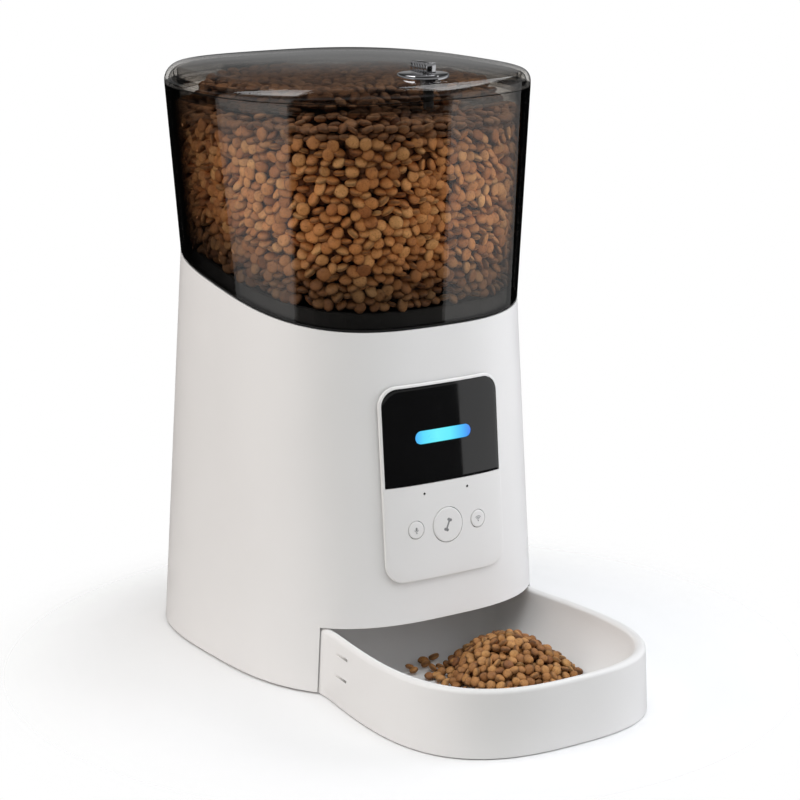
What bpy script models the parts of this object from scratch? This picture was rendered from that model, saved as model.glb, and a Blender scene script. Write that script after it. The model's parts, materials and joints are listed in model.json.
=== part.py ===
"""Automatic pet feeder: white housing, smoky hopper with a hinged lid, paddle rotor, pull-out bowl.

Metres, +Z up, the front faces -Y. The origin is at floor level under the middle of the whole feeder;
the housing's own centre stands BODY_Y behind it, and every coordinate below is measured from there.
"""
import bmesh
import bpy
from math import atan2, copysign, cos, pi, sin, sqrt
from mathutils import Vector

MM = 0.001

# ---- driving dimensions -------------------------------------------------------------------------
BODY_Y = 55.6 * MM              # housing centre, measured back from the origin
RING_POINTS = 48                # points around every housing, hopper and lid outline

# Outlines: half width, half depth, squareness, centre y, height at y = 0, rise per metre of depth.
BASE = (97.5 * MM, 117.8 * MM, 2.9, 4.4 * MM, 0.0, 0.0)
WAIST = (90.2 * MM, 95.5 * MM, 2.93, 0.0, 228.9 * MM, 0.18)
RIM = (102.9 * MM, 105.3 * MM, 2.35, 0.0, 341.9 * MM, 0.0)
LID_EDGE = (87.9 * MM, 100.6 * MM, 2.87, 0.0, 351.7 * MM, 0.0)
LID_RISE = 3.5 * MM             # height of the lid's dome above its rounded edge

GAP = 0.3 * MM                  # clearance between touching pieces
HOUSING_WALL = 2.6 * MM
HOPPER_WALL = 2.6 * MM
LID_WALL = 2.4 * MM

BOWL_HALF_WIDTH = 76.6 * MM
BOWL_CENTRE_Y = -95.8 * MM      # where the straight rear part ends and the rounded front starts
BOWL_FRONT_LENGTH = 137.4 * MM
BOWL_REAR_LENGTH = 48.0 * MM
BOWL_SIDE_POWER = 2.71
BOWL_FRONT_POWER = 3.26
BOWL_FLARE = 0.24               # widening of the tray towards its front
BOWL_LEAN = 2.5 * MM            # how far the side walls lean in at the rim
BOWL_HEIGHT = 39.5 * MM
BOWL_RIM = 5.2 * MM             # width of the rounded rim
BOWL_SHEET = 2.0 * MM
BOWL_TRAVEL = 140.0 * MM

ARCH_HEIGHT = 40.2 * MM
PANEL_HALF_WIDTH = 41.7 * MM
PANEL_BOTTOM = 65.0 * MM
PANEL_TOP = 180.1 * MM
PANEL_CORNER = 11.5 * MM
PANEL_PROUD = 2.3 * MM
SCREEN_BOTTOM = 121.3 * MM
SCREEN_BORDER = 1.6 * MM
LED_HEIGHT = 148.6 * MM
LED_HALF_LENGTH = 19.2 * MM
LED_RADIUS = 3.7 * MM
BUTTON_HEIGHT = 95.3 * MM
BUTTON_SPACING = 21.7 * MM
FEED_RADIUS = 10.2 * MM
SIDE_RADIUS = 5.1 * MM
PINHOLE_HEIGHT = 115.7 * MM
BUTTON_TRAVEL = 0.8 * MM

ROTOR_Y = -8.0 * MM
ROTOR_Z = 122.0 * MM
ROTOR_RADIUS = 36.5 * MM
TROUGH_RADIUS = 38.5 * MM
TROUGH_HALF_LENGTH = 34.0 * MM
GEAR_MODULE = 1.5 * MM
GEAR_TEETH = 30
PINION_TEETH = 10
GEAR_CENTRES = 30.4 * MM

HINGE_Y = RIM[1] + 3.9 * MM     # lid hinge axis, just behind the rim
HINGE_Z = RIM[4]
KNOB_Y = -86.5 * MM
KNOB_Z = 351.0 * MM             # where the lock plate sits in the lid
KNOB_TOP = 361.3 * MM
PLATE_RADIUS = 14.8 * MM
PLATE_SHIFT = 5.4 * MM            # the plate lies centred under the grip, behind the stem
TONGUE_Z = RIM[4] - 7.9 * MM
TONGUE_LENGTH = 14.8 * MM

CELL_RADIUS = 16.6 * MM
CELL_PITCH = 35.2 * MM
CELL_Z = 24.0 * MM

COLOURS = {
    "white_abs": ((0.86, 0.855, 0.845), 0.42, 0.0),
    "smoky_plastic": ((0.045, 0.043, 0.042), 0.08, 0.0),
    "black_plastic": ((0.02, 0.02, 0.02), 0.45, 0.0),
    "gloss_black": ((0.006, 0.006, 0.007), 0.06, 0.0),
    "led_glow": ((0.15, 0.75, 1.0), 0.3, 0.0),
    "rubber": ((0.03, 0.03, 0.03), 0.8, 0.0),
    "silicone": ((0.55, 0.56, 0.57), 0.6, 0.0),
    "steel": ((0.62, 0.62, 0.63), 0.3, 1.0),
    "nickel": ((0.7, 0.68, 0.63), 0.25, 1.0),
    "circuit_board": ((0.02, 0.16, 0.07), 0.5, 0.0),
    "nylon": ((0.75, 0.74, 0.68), 0.5, 0.0),
    "battery_wrap": ((0.12, 0.12, 0.14), 0.35, 0.0),
    "chrome": ((0.75, 0.75, 0.77), 0.08, 1.0),
}


# ---- scene and helpers --------------------------------------------------------------------------
def clear_scene():
    for item in list(bpy.data.objects):
        bpy.data.objects.remove(item, do_unlink=True)


def make_collection(name):
    group = bpy.data.collections.new(name)
    bpy.context.scene.collection.children.link(group)
    return group


def material(name):
    found = bpy.data.materials.get(name)
    if found:
        return found
    colour, roughness, metallic = COLOURS[name]
    made = bpy.data.materials.new(name)
    made.use_nodes = True
    shader = made.node_tree.nodes["Principled BSDF"]
    shader.inputs["Base Color"].default_value = (*colour, 1.0)
    shader.inputs["Roughness"].default_value = roughness
    shader.inputs["Metallic"].default_value = metallic
    return made


def place(item, look, location=(0.0, 0.0, 0.0), rotation=(0.0, 0.0, 0.0), parent=None):
    """Finish a part: material, place under the feeder's root (or another empty), collection."""
    item.data.materials.clear()
    item.data.materials.append(material(look))
    item.parent = parent or ROOT
    item.location = location
    item.rotation_euler = rotation
    PARTS.objects.link(item)
    return item


def place_cutter(item, location=(0.0, 0.0, 0.0), rotation=(0.0, 0.0, 0.0)):
    item.parent = ROOT
    item.location = location
    item.rotation_euler = rotation
    item.hide_render = True
    item.display_type = "WIRE"
    CUTTERS.objects.link(item)
    return item


def boolean(item, tool, operation="DIFFERENCE"):
    change = item.modifiers.new(operation.lower() + "_" + tool.name, "BOOLEAN")
    change.operation = operation
    change.solver = "EXACT"
    change.object = tool


def smooth(item, angle=0.6):
    item.data.shade_smooth()
    item.data.set_sharp_from_angle(angle=angle)
    return item


def pivot(name, location):
    """An empty on a joint's axis, which a moving piece hangs from."""
    empty = bpy.data.objects.new(name, None)
    empty.parent = ROOT
    empty.location = location
    PARTS.objects.link(empty)
    return empty


def new_mesh_object(name, bm):
    mesh = bpy.data.meshes.new(name)
    bm.to_mesh(mesh)
    bm.free()
    return bpy.data.objects.new(name, mesh)


def box(name, size, centre=(0.0, 0.0, 0.0)):
    bm = bmesh.new()
    bmesh.ops.create_cube(bm, size=1.0)
    bmesh.ops.scale(bm, vec=size, verts=bm.verts)
    bmesh.ops.translate(bm, vec=centre, verts=bm.verts)
    return new_mesh_object(name, bm)


def cylinder(name, radius, length, segments=32):
    """Along local Z, centred on its origin."""
    bm = bmesh.new()
    bmesh.ops.create_cone(bm, cap_ends=True, segments=segments, radius1=radius, radius2=radius, depth=length)
    return smooth(new_mesh_object(name, bm))


def turned(name, profile, steps=32):
    """Turn a profile of (radius, height) points, listed top to bottom, about local Z."""
    bm = bmesh.new()
    points = [bm.verts.new((radius, 0.0, height)) for radius, height in profile]
    for first, second in zip(points, points[1:]):
        bm.edges.new((first, second))
    item = new_mesh_object(name, bm)
    spin = item.modifiers.new("turn", "SCREW")
    spin.steps = steps
    spin.render_steps = steps
    spin.use_merge_vertices = True
    spin.merge_threshold = 0.00001
    spin.use_smooth_shade = True
    return item


def loft(name, rings, closed=False, cap=False):
    """Skin a list of equal rings, listed so that their outside is on the right going up."""
    bm = bmesh.new()
    loops = [[bm.verts.new(point) for point in ring] for ring in rings]
    pairs = list(zip(loops, loops[1:]))
    if closed:
        pairs.append((loops[-1], loops[0]))
    for lower, upper in pairs:
        for i in range(len(lower)):
            j = (i + 1) % len(lower)
            bm.faces.new((lower[i], lower[j], upper[j], upper[i]))
    if cap:
        bm.faces.new(loops[0][::-1])
        bm.faces.new(loops[-1])
    return smooth(new_mesh_object(name, bm))


def solidify(item, thickness):
    """Thicken an open surface on the side away from its normals."""
    change = item.modifiers.new("wall", "SOLIDIFY")
    change.thickness = thickness
    change.offset = -1.0
    change.use_even_offset = True
    change.use_rim = True
    return item


def flat_curve(name, outlines, thickness):
    """A flat piece: the first outline is its edge and any others are holes. Local Z is its axis."""
    curve = bpy.data.curves.new(name, "CURVE")
    curve.dimensions = "2D"
    curve.fill_mode = "BOTH"
    curve.extrude = thickness / 2
    for outline in outlines:
        spline = curve.splines.new("POLY")
        spline.points.add(len(outline) - 1)
        for point, (x, y) in zip(spline.points, outline):
            point.co = (x, y, 0.0, 1.0)
        spline.use_cyclic_u = True
    return bpy.data.objects.new(name, curve)


def flat_solid(name, outlines, thickness):
    """The same flat piece as a welded mesh, for pieces that are cut or joined."""
    item = flat_curve(name + "_outline", outlines, thickness)
    bpy.context.scene.collection.objects.link(item)
    graph = bpy.context.evaluated_depsgraph_get()
    mesh = bpy.data.meshes.new_from_object(item.evaluated_get(graph))
    bm = bmesh.new()
    bm.from_mesh(mesh)
    bmesh.ops.remove_doubles(bm, verts=bm.verts, dist=0.000001)
    bm.to_mesh(mesh)
    bm.free()
    mesh.name = name
    solid = bpy.data.objects.new(name, mesh)
    solid.matrix_world = item.matrix_world
    bpy.data.objects.remove(item, do_unlink=True)
    return solid


ALONG_X = (pi / 2, 0.0, pi / 2)     # local X, Y, Z become Y, Z, X
ALONG_Y = (pi / 2, 0.0, 0.0)        # local X, Y, Z become X, Z, -Y


def arc(centre_x, centre_y, radius, start, end, count):
    """Points of an arc, angles in radians, both ends included."""
    points = []
    for i in range(count + 1):
        angle = start + (end - start) * i / count
        points.append((centre_x + radius * cos(angle), centre_y + radius * sin(angle)))
    return points


def circle(radius, centre_x=0.0, centre_y=0.0, count=32):
    return arc(centre_x, centre_y, radius, 0.0, 2 * pi, count)[:-1]


def rounded_rectangle(x0, y0, x1, y1, radius, lower_radius=None):
    """Counter-clockwise from the lower left; the lower corners may have their own radius."""
    low = radius if lower_radius is None else lower_radius
    low_steps = 6 if low > 0.001 else 2
    return (arc(x0 + low, y0 + low, low, pi, 1.5 * pi, low_steps)
            + arc(x1 - low, y0 + low, low, -0.5 * pi, 0.0, low_steps)
            + arc(x1 - radius, y1 - radius, radius, 0.0, 0.5 * pi, 6)
            + arc(x0 + radius, y1 - radius, radius, 0.5 * pi, pi, 6))


# ---- outlines of the housing, hopper and lid ----------------------------------------------------
def superellipse(half_x, half_y, power, centre_y, angle):
    c, s = cos(angle), sin(angle)
    return (half_x * copysign(abs(c) ** (2 / power), c),
            centre_y + half_y * copysign(abs(s) ** (2 / power), s))


def section(shape, inset=0.0, lift=0.0, count=RING_POINTS):
    """One ring of an outline, moved in by inset and up by lift."""
    half_x, half_y, power, centre_y, height, slope = shape
    ring = []
    for i in range(count):
        x, y = superellipse(half_x - inset, half_y - inset, power, centre_y, 2 * pi * i / count)
        ring.append(Vector((x, y, height + slope * y + lift)))
    return ring


def between(lower, upper, part, inset=0.0):
    """A ring part of the way from one outline up to the next."""
    pairs = zip(section(lower, inset), section(upper, inset))
    return [a.lerp(b, part) for a, b in pairs]


def flat_outline(shape, inset):
    return [(point.x, point.y) for point in section(shape, inset)]


def housing_block(name, proud, part_low=0.15, part_high=0.95, count=4):
    """Solid block whose skin lies proud of the housing's surface, for pieces that follow it."""
    parts = [part_low + (part_high - part_low) * i / count for i in range(count + 1)]
    return loft(name, [between(BASE, WAIST, part, -proud) for part in parts], cap=True)


# ---- housing ------------------------------------------------------------------------------------
def arch_cutter():
    """Opening under the front for the bowl: sides lean like the bowl's, the top edge is level."""
    low = BOWL_HALF_WIDTH + 0.9 * MM
    high = low - BOWL_LEAN * 1.02
    front, back = -130 * MM, -45 * MM
    rings = []
    for half, z in ((low + 0.2 * MM, -2 * MM), (high, ARCH_HEIGHT)):
        rings.append([(-half, front, z), (half, front, z), (half, back, z), (-half, back, z)])
    return place_cutter(loft("arch_cutter", rings, cap=True))


def screw_places():
    return [(side * x, y) for side in (-1, 1) for x, y in ((89.6 * MM, -18 * MM), (86.0 * MM, 60 * MM))]


def housing():
    parts = (0.006, 0.33, 0.66, 0.996)
    shell = loft("housing_shell", [between(BASE, WAIST, part) for part in parts])
    solidify(shell, HOUSING_WALL)
    for number, (x, y) in enumerate(screw_places(), 1):
        post = cylinder("post_%d" % number, 5.6 * MM, 26 * MM, 20)
        place_cutter(post, (x, y, 19.2 * MM))
        boolean(shell, post, "UNION")
    boolean(shell, arch_cutter())
    window = flat_solid("panel_window_cutter",
                        [rounded_rectangle(-36 * MM, 70 * MM, 36 * MM, 172 * MM, 6 * MM)], 30 * MM)
    boolean(shell, place_cutter(window, (0.0, -100 * MM, 0.0), ALONG_Y))
    inlet = cylinder("inlet_cutter", 6.3 * MM, 20 * MM, 24)
    boolean(shell, place_cutter(inlet, (60 * MM, 110 * MM, 22 * MM), (pi / 2, 0.0, 0.0)))
    for row in range(3):
        for column in range(4):
            hole = cylinder("grille_%d_%d" % (row, column), 1.3 * MM, 30 * MM, 8)
            where = (-53.5 * MM + column * 5 * MM, 104 * MM, 62 * MM + row * 5 * MM)
            boolean(shell, place_cutter(hole, where, (pi / 2, 0.0, 0.0)))
    for number, (x, y) in enumerate(screw_places(), 1):
        bore = cylinder("post_bore_%d" % number, 1.9 * MM, 20 * MM, 12)
        boolean(shell, place_cutter(bore, (x, y, 14 * MM)))
    place(shell, "white_abs")


def base_plate():
    plate = flat_solid("base_plate", [flat_outline(BASE, 3.7 * MM)], 4 * MM)
    place(plate, "black_plastic", (0.0, 0.0, 3.5 * MM))
    bay = box("bay_cutter", (2 * (BOWL_HALF_WIDTH + 2.2 * MM), 120 * MM, 20 * MM))
    boolean(plate, place_cutter(bay, (0.0, -46 * MM - 60 * MM, 3.5 * MM)))
    recess = box("cover_recess_cutter", (72.6 * MM, 125 * MM, 2.8 * MM))
    boolean(plate, place_cutter(recess, (0.0, 46.6 * MM, 2.5 * MM)))
    opening = box("battery_opening_cutter", (65 * MM, 105.6 * MM, 10 * MM))
    boolean(plate, place_cutter(opening, (0.0, 53.8 * MM, 4 * MM)))
    for number, (x, y) in enumerate(foot_places(), 1):
        pocket = cylinder("foot_pocket_%d" % number, 8.4 * MM, 4 * MM, 20)
        boolean(plate, place_cutter(pocket, (x, y, 1.7 * MM)))
    for number, (x, y) in enumerate(screw_places(), 1):
        sink = turned("screw_sink_%d" % number,
                      [(0.0, 8 * MM), (2.0 * MM, 8 * MM), (2.0 * MM, 3.6 * MM), (3.7 * MM, 3.6 * MM),
                       (3.7 * MM, 0.0), (0.0, 0.0)], 12)
        boolean(plate, place_cutter(sink, (x, y, 0.0)))


def foot_places():
    return [(side * 64 * MM, y) for y in (-34 * MM, 86 * MM) for side in (-1, 1)]


def feet():
    names = ("foot_front_left", "foot_front_right", "foot_rear_left", "foot_rear_right")
    for name, (x, y) in zip(names, foot_places()):
        profile = [(0.0, 3.4 * MM), (8 * MM, 3.4 * MM), (8 * MM, 0.6 * MM), (7.4 * MM, 0.0), (0.0, 0.0)]
        place(turned(name, profile, 20), "rubber", (x, y, 0.0))


def base_screws():
    for number, (x, y) in enumerate(screw_places(), 1):
        profile = [(0.0, 14 * MM), (1.6 * MM, 13.4 * MM), (1.6 * MM, 3.3 * MM), (3.3 * MM, 3.3 * MM),
                   (3.3 * MM, 1.6 * MM), (0.0, 1.6 * MM)]
        place(turned("base_screw_%d" % number, profile, 12), "steel", (x, y, 0.0))


def dc_jack():
    profile = [(0.0, 13 * MM), (5.9 * MM, 13 * MM), (5.9 * MM, 0.0), (3.1 * MM, 0.0),
               (3.1 * MM, 9 * MM), (0.9 * MM, 9 * MM), (0.9 * MM, 1.5 * MM), (0.0, 1.2 * MM)]
    place(turned("dc_jack", profile, 16), "black_plastic", (60 * MM, 108.6 * MM, 22 * MM), (pi / 2, 0.0, 0.0))


# ---- hopper, funnel and seal --------------------------------------------------------------------
def hinge_knuckle(name, x0, x1, web_low, web_high):
    """A barrel round the hinge axis with a web that reaches the wall in front of it."""
    barrel = cylinder(name + "_barrel", 3.4 * MM, x1 - x0, 20)
    place_cutter(barrel, ((x0 + x1) / 2, HINGE_Y, HINGE_Z), (0.0, pi / 2, 0.0))
    web_front = RIM[1] - 2.1 * MM
    web = box(name + "_web", (x1 - x0, HINGE_Y - web_front, web_high - web_low))
    place_cutter(web, ((x0 + x1) / 2, (HINGE_Y + web_front) / 2, (web_low + web_high) / 2))
    return barrel, web


def hinge_bore(name, half_length):
    bore = cylinder(name, 1.7 * MM, 2 * half_length, 16)
    return place_cutter(bore, (0.0, HINGE_Y, HINGE_Z), (0.0, pi / 2, 0.0))


def hopper():
    tank = loft("hopper_tank", [between(WAIST, RIM, part) for part in (0.006, 0.35, 0.7, 1.0)])
    solidify(tank, HOPPER_WALL)
    place(tank, "smoky_plastic")
    for name, x0, x1 in (("left_knuckle", -22 * MM, -9 * MM), ("right_knuckle", 9 * MM, 22 * MM)):
        for piece in hinge_knuckle(name, x0, x1, HINGE_Z - 3.2 * MM, HINGE_Z - 0.2 * MM):
            boolean(tank, piece, "UNION")
    boolean(tank, hinge_bore("tank_hinge_bore", 30 * MM))


def hinge_pin():
    pin = cylinder("hinge_pin", 1.4 * MM, 43 * MM, 16)
    place(pin, "steel", (0.0, HINGE_Y, HINGE_Z), (0.0, pi / 2, 0.0))


def hopper_seal():
    edges = ((0.3, -0.6), (0.3, 0.35), (2.4, 0.35), (2.4, -0.6))
    rings = [section(WAIST, inset * MM, lift * MM) for inset, lift in edges]
    place(loft("hopper_seal", rings, closed=True), "rubber")


def throat_ring(inset, z):
    """Squarish ring over the rotor trough."""
    ring = []
    for i in range(RING_POINTS):
        x, y = superellipse(28.6 * MM - inset, 35.2 * MM - inset, 9.0, ROTOR_Y, 2 * pi * i / RING_POINTS)
        ring.append(Vector((x, y, z)))
    return ring


def funnel():
    shoulder = [a.lerp(b, 0.10) for a, b in zip(section(WAIST, 4.6 * MM, 9 * MM), throat_ring(0, 172 * MM))]
    rings = [between(BASE, WAIST, 0.955, 3.1 * MM), section(WAIST, 3.1 * MM, 8.4 * MM),
             section(WAIST, 4.6 * MM, 9.0 * MM), shoulder, throat_ring(0.0, 172 * MM),
             throat_ring(0.0, 161.0 * MM)]
    place(solidify(loft("funnel", rings), 2.0 * MM), "black_plastic")


# ---- rotor, its trough and gear train -----------------------------------------------------------
def trough_outline(radius, top):
    return ([(radius, top)] + [(-radius, top)]
            + arc(0.0, 0.0, radius, pi, 2 * pi, 24))


def rotor_chamber():
    outer = trough_outline(TROUGH_RADIUS + 2.5 * MM, 44 * MM)
    trough = flat_solid("rotor_chamber", [outer], 2 * TROUGH_HALF_LENGTH)
    place(trough, "black_plastic", (0.0, ROTOR_Y, ROTOR_Z), ALONG_X)
    hollow = flat_solid("trough_hollow", [trough_outline(TROUGH_RADIUS, 60 * MM)], 2 * TROUGH_HALF_LENGTH)
    boolean(trough, place_cutter(hollow, (2.5 * MM, ROTOR_Y, ROTOR_Z), ALONG_X))
    outlet = box("outlet_cutter", (58 * MM, 46 * MM, 38 * MM))
    boolean(trough, place_cutter(outlet, (0.0, ROTOR_Y - 29 * MM, ROTOR_Z - 33 * MM)))
    bore = cylinder("trough_bore", 3.4 * MM, 20 * MM, 24)
    boolean(trough, place_cutter(bore, (-TROUGH_HALF_LENGTH, ROTOR_Y, ROTOR_Z), (0.0, pi / 2, 0.0)))


def chamber_cover():
    outlines = [trough_outline(TROUGH_RADIUS + 2.5 * MM, 44 * MM), circle(3.4 * MM, count=24)]
    place(flat_curve("chamber_cover", outlines, 2.4 * MM), "black_plastic",
          (TROUGH_HALF_LENGTH + GAP + 1.2 * MM, ROTOR_Y, ROTOR_Z), ALONG_X)


def rotor():
    """Hub and six paddles in one star outline, bored for the shaft."""
    hub, half_paddle = 9 * MM, 1.3 * MM
    star = []
    for paddle in range(6):
        turn = paddle * pi / 3 + pi / 6
        root = atan2(half_paddle, hub)
        corners = [(hub, -half_paddle), (ROTOR_RADIUS - 1 * MM, -half_paddle),
                   (ROTOR_RADIUS, -0.5 * MM), (ROTOR_RADIUS, 0.5 * MM),
                   (ROTOR_RADIUS - 1 * MM, half_paddle), (hub, half_paddle)]
        for x, y in corners:
            star.append((x * cos(turn) - y * sin(turn), x * sin(turn) + y * cos(turn)))
        star += arc(0.0, 0.0, hub, turn + root, turn + pi / 3 - root, 4)[1:-1]
    place(flat_curve("rotor", [star, circle(3.3 * MM, count=24)], 62 * MM), "silicone",
          (0.9 * MM, ROTOR_Y, ROTOR_Z), ALONG_X)
    shaft = cylinder("rotor_shaft", 3 * MM, 86 * MM, 24)
    place(shaft, "steel", (6.5 * MM, ROTOR_Y, ROTOR_Z), (0.0, pi / 2, 0.0))


def gear_outline(teeth, tooth_share, turn):
    """Straight-flanked teeth with working clearance, counter-clockwise."""
    pitch_radius = teeth * GEAR_MODULE / 2
    root, tip = pitch_radius - 1.15 * GEAR_MODULE, pitch_radius + 0.78 * GEAR_MODULE
    step = 2 * pi / teeth
    points = []
    for tooth in range(teeth):
        middle = turn + tooth * step
        for radius, share in ((root, -tooth_share * 0.78), (tip, -tooth_share * 0.30),
                              (tip, tooth_share * 0.30), (root, tooth_share * 0.78)):
            angle = middle + share * step
            points.append((radius * cos(angle), radius * sin(angle)))
    return points


def gears():
    wheel = [gear_outline(GEAR_TEETH, 0.42, 0.0), circle(3.3 * MM, count=24)]
    place(flat_curve("drive_gear", wheel, 6 * MM), "nylon", (41.6 * MM, ROTOR_Y, ROTOR_Z), ALONG_X)
    half_step = pi / PINION_TEETH
    small = [gear_outline(PINION_TEETH, 0.42, pi + half_step), circle(1.8 * MM, count=16)]
    pinion_y = ROTOR_Y + GEAR_CENTRES
    place(flat_curve("motor_pinion", small, 6 * MM), "nylon", (41.6 * MM, pinion_y, ROTOR_Z), ALONG_X)
    shaft = cylinder("motor_shaft", 1.5 * MM, 12.4 * MM, 16)
    place(shaft, "steel", (44.5 * MM, pinion_y, ROTOR_Z), (0.0, pi / 2, 0.0))


def gear_cover_outline(inset):
    big, small = 27 * MM - inset, 15 * MM - inset
    lean = atan2(sqrt(GEAR_CENTRES ** 2 - (big - small) ** 2), big - small)
    return (arc(0.0, 0.0, big, lean, 2 * pi - lean, 20)
            + arc(GEAR_CENTRES, 0.0, small, -lean, lean, 10))


def gear_cover():
    depth = 13.2 * MM
    start = TROUGH_HALF_LENGTH + 2 * GAP + 2.4 * MM
    cover = flat_solid("gear_cover", [gear_cover_outline(0.0)], depth)
    place(cover, "black_plastic", (start + depth / 2, ROTOR_Y, ROTOR_Z), ALONG_X)
    hollow = flat_solid("gear_cover_hollow", [gear_cover_outline(2 * MM)], depth)
    boolean(cover, place_cutter(hollow, (start + depth / 2 - 2 * MM, ROTOR_Y, ROTOR_Z), ALONG_X))
    for name, y, radius in (("shaft_hole", 0.0, 3.4 * MM), ("motor_hole", GEAR_CENTRES, 2 * MM)):
        hole = cylinder(name + "_cutter", radius, 12 * MM, 20)
        boolean(cover, place_cutter(hole, (start + depth, ROTOR_Y + y, ROTOR_Z), (0.0, pi / 2, 0.0)))


def gear_motor():
    profile = [(0.0, 35 * MM), (4 * MM, 35 * MM), (4 * MM, 33 * MM), (12 * MM, 33 * MM),
               (12.5 * MM, 32.5 * MM), (12.5 * MM, 12 * MM), (14 * MM, 12 * MM), (14 * MM, 0.0), (0.0, 0.0)]
    place(turned("gear_motor", profile, 20), "steel",
          (51.0 * MM, ROTOR_Y + GEAR_CENTRES, ROTOR_Z), (0.0, pi / 2, 0.0))


# ---- chute and its food sensor ------------------------------------------------------------------
def chute():
    outer = [(-94, 62), (-94, 43.4), (-56, 43.4), (-4, 86), (-4, 118), (-54, 118)]
    inner = [(-91.8, 62.6), (-91.8, 30), (-59.5, 30), (-59.5, 43.4), (0, 92), (0, 130), (-51.6, 130),
             (-51.6, 118)]
    body = flat_solid("food_chute", [[(y * MM, z * MM) for y, z in reversed(outer)]], 63 * MM)
    place(body, "white_abs", (0.0, 0.0, 0.0), ALONG_X)
    drum = cylinder("chute_drum_cutter", TROUGH_RADIUS + 2.5 * MM + GAP, 80 * MM, 64)
    boolean(body, place_cutter(drum, (0.0, ROTOR_Y, ROTOR_Z), (0.0, pi / 2, 0.0)))
    hollow = flat_solid("chute_hollow", [[(y * MM, z * MM) for y, z in reversed(inner)]], 58.6 * MM)
    boolean(body, place_cutter(hollow, (0.0, 0.0, 0.0), ALONG_X))
    beam = cylinder("beam_cutter", 2.4 * MM, 90 * MM, 16)
    boolean(body, place_cutter(beam, (0.0, -76 * MM, 58 * MM), (0.0, pi / 2, 0.0)))


def food_sensor():
    """Infrared pair looking across the chute."""
    for name, side in (("ir_emitter", -1), ("ir_receiver", 1)):
        profile = [(0.0, 9 * MM), (2.0 * MM, 8.4 * MM), (2.2 * MM, 5 * MM), (5 * MM, 5 * MM),
                   (5 * MM, 0.0), (0.0, 0.0)]
        place(turned(name, profile, 12), "black_plastic",
              (side * 36.8 * MM, -76 * MM, 58 * MM), (0.0, -side * pi / 2, 0.0))


# ---- electronics and batteries ------------------------------------------------------------------
def electronics():
    main = box("main_board", (84 * MM, 1.6 * MM, 60 * MM))
    place(main, "circuit_board", (16 * MM, 92 * MM, 92 * MM))
    radio = box("radio_module", (16 * MM, 2.6 * MM, 24 * MM))
    place(radio, "nickel", (38 * MM, 89.6 * MM, 104 * MM))
    profile = [(0.0, 7 * MM), (7 * MM, 7 * MM), (8 * MM, 3 * MM), (15 * MM, 3 * MM), (15 * MM, 0.0), (0.0, 0.0)]
    place(turned("speaker", profile, 20), "black_plastic", (-46 * MM, 97.5 * MM, 67 * MM), (pi / 2, 0.0, 0.0))


def battery_box():
    centre_y = 1 * MM + 1.5 * CELL_PITCH
    case = box("battery_box", (69 * MM, 3 * CELL_PITCH + 4.4 * MM, 38 * MM))
    place(case, "black_plastic", (0.0, centre_y, 24.9 * MM))
    hollow = box("battery_hollow", (65 * MM, 3 * CELL_PITCH, 40 * MM))
    boolean(case, place_cutter(hollow, (0.0, centre_y, 21.7 * MM)))
    for number in range(3):
        profile = [(0.0, 60.6 * MM), (4.5 * MM, 60.6 * MM), (4.7 * MM, 59 * MM), (16 * MM, 59 * MM),
                   (CELL_RADIUS, 58.4 * MM), (CELL_RADIUS, 0.0), (0.0, 0.0)]
        turn = 1 if number % 2 == 0 else -1
        y = 1 * MM + (number + 0.5) * CELL_PITCH
        place(turned("battery_%d" % (number + 1), profile, 20), "battery_wrap",
              (-turn * 30.3 * MM, y, CELL_Z), (0.0, turn * pi / 2, 0.0))
    for name, side in (("battery_contact_left", -1), ("battery_contact_right", 1)):
        plate = box(name, (0.6 * MM, 98 * MM, 22 * MM))
        place(plate, "nickel", (side * 31.6 * MM, centre_y, CELL_Z))


def battery_cover():
    slide = pivot("battery_cover_slide", (0.0, 52.8 * MM, 2.6 * MM))
    cover = box("battery_cover", (72 * MM, 111 * MM, 2.0 * MM))
    place(cover, "black_plastic", parent=slide)
    for number in range(4):
        groove = box("grip_cutter_%d" % number, (30 * MM, 1.6 * MM, 1.2 * MM))
        boolean(cover, place_cutter(groove, (0.0, 8 * MM + number * 4 * MM, 1.5 * MM)))


# ---- control panel ------------------------------------------------------------------------------
def panel_prism(name, outline):
    """Upright prism through the front of the housing, outline in X and Z."""
    return place_cutter(flat_solid(name, [outline], 60 * MM), (0.0, -105 * MM, 0.0), ALONG_Y)


def panel_skin(name, outline, look, proud, back=GAP, parent=None, location=(0.0, 0.0, 0.0)):
    """A plate that follows the housing's front between two skins, cut to an outline."""
    plate = flat_solid(name, [outline], 60 * MM)
    place(plate, look, location, ALONG_Y, parent)
    outer = place_cutter(housing_block(name + "_outer", proud))
    inner = place_cutter(housing_block(name + "_inner", back, 0.1, 0.98))
    boolean(plate, outer, "INTERSECT")
    boolean(plate, inner)
    return plate


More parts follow.
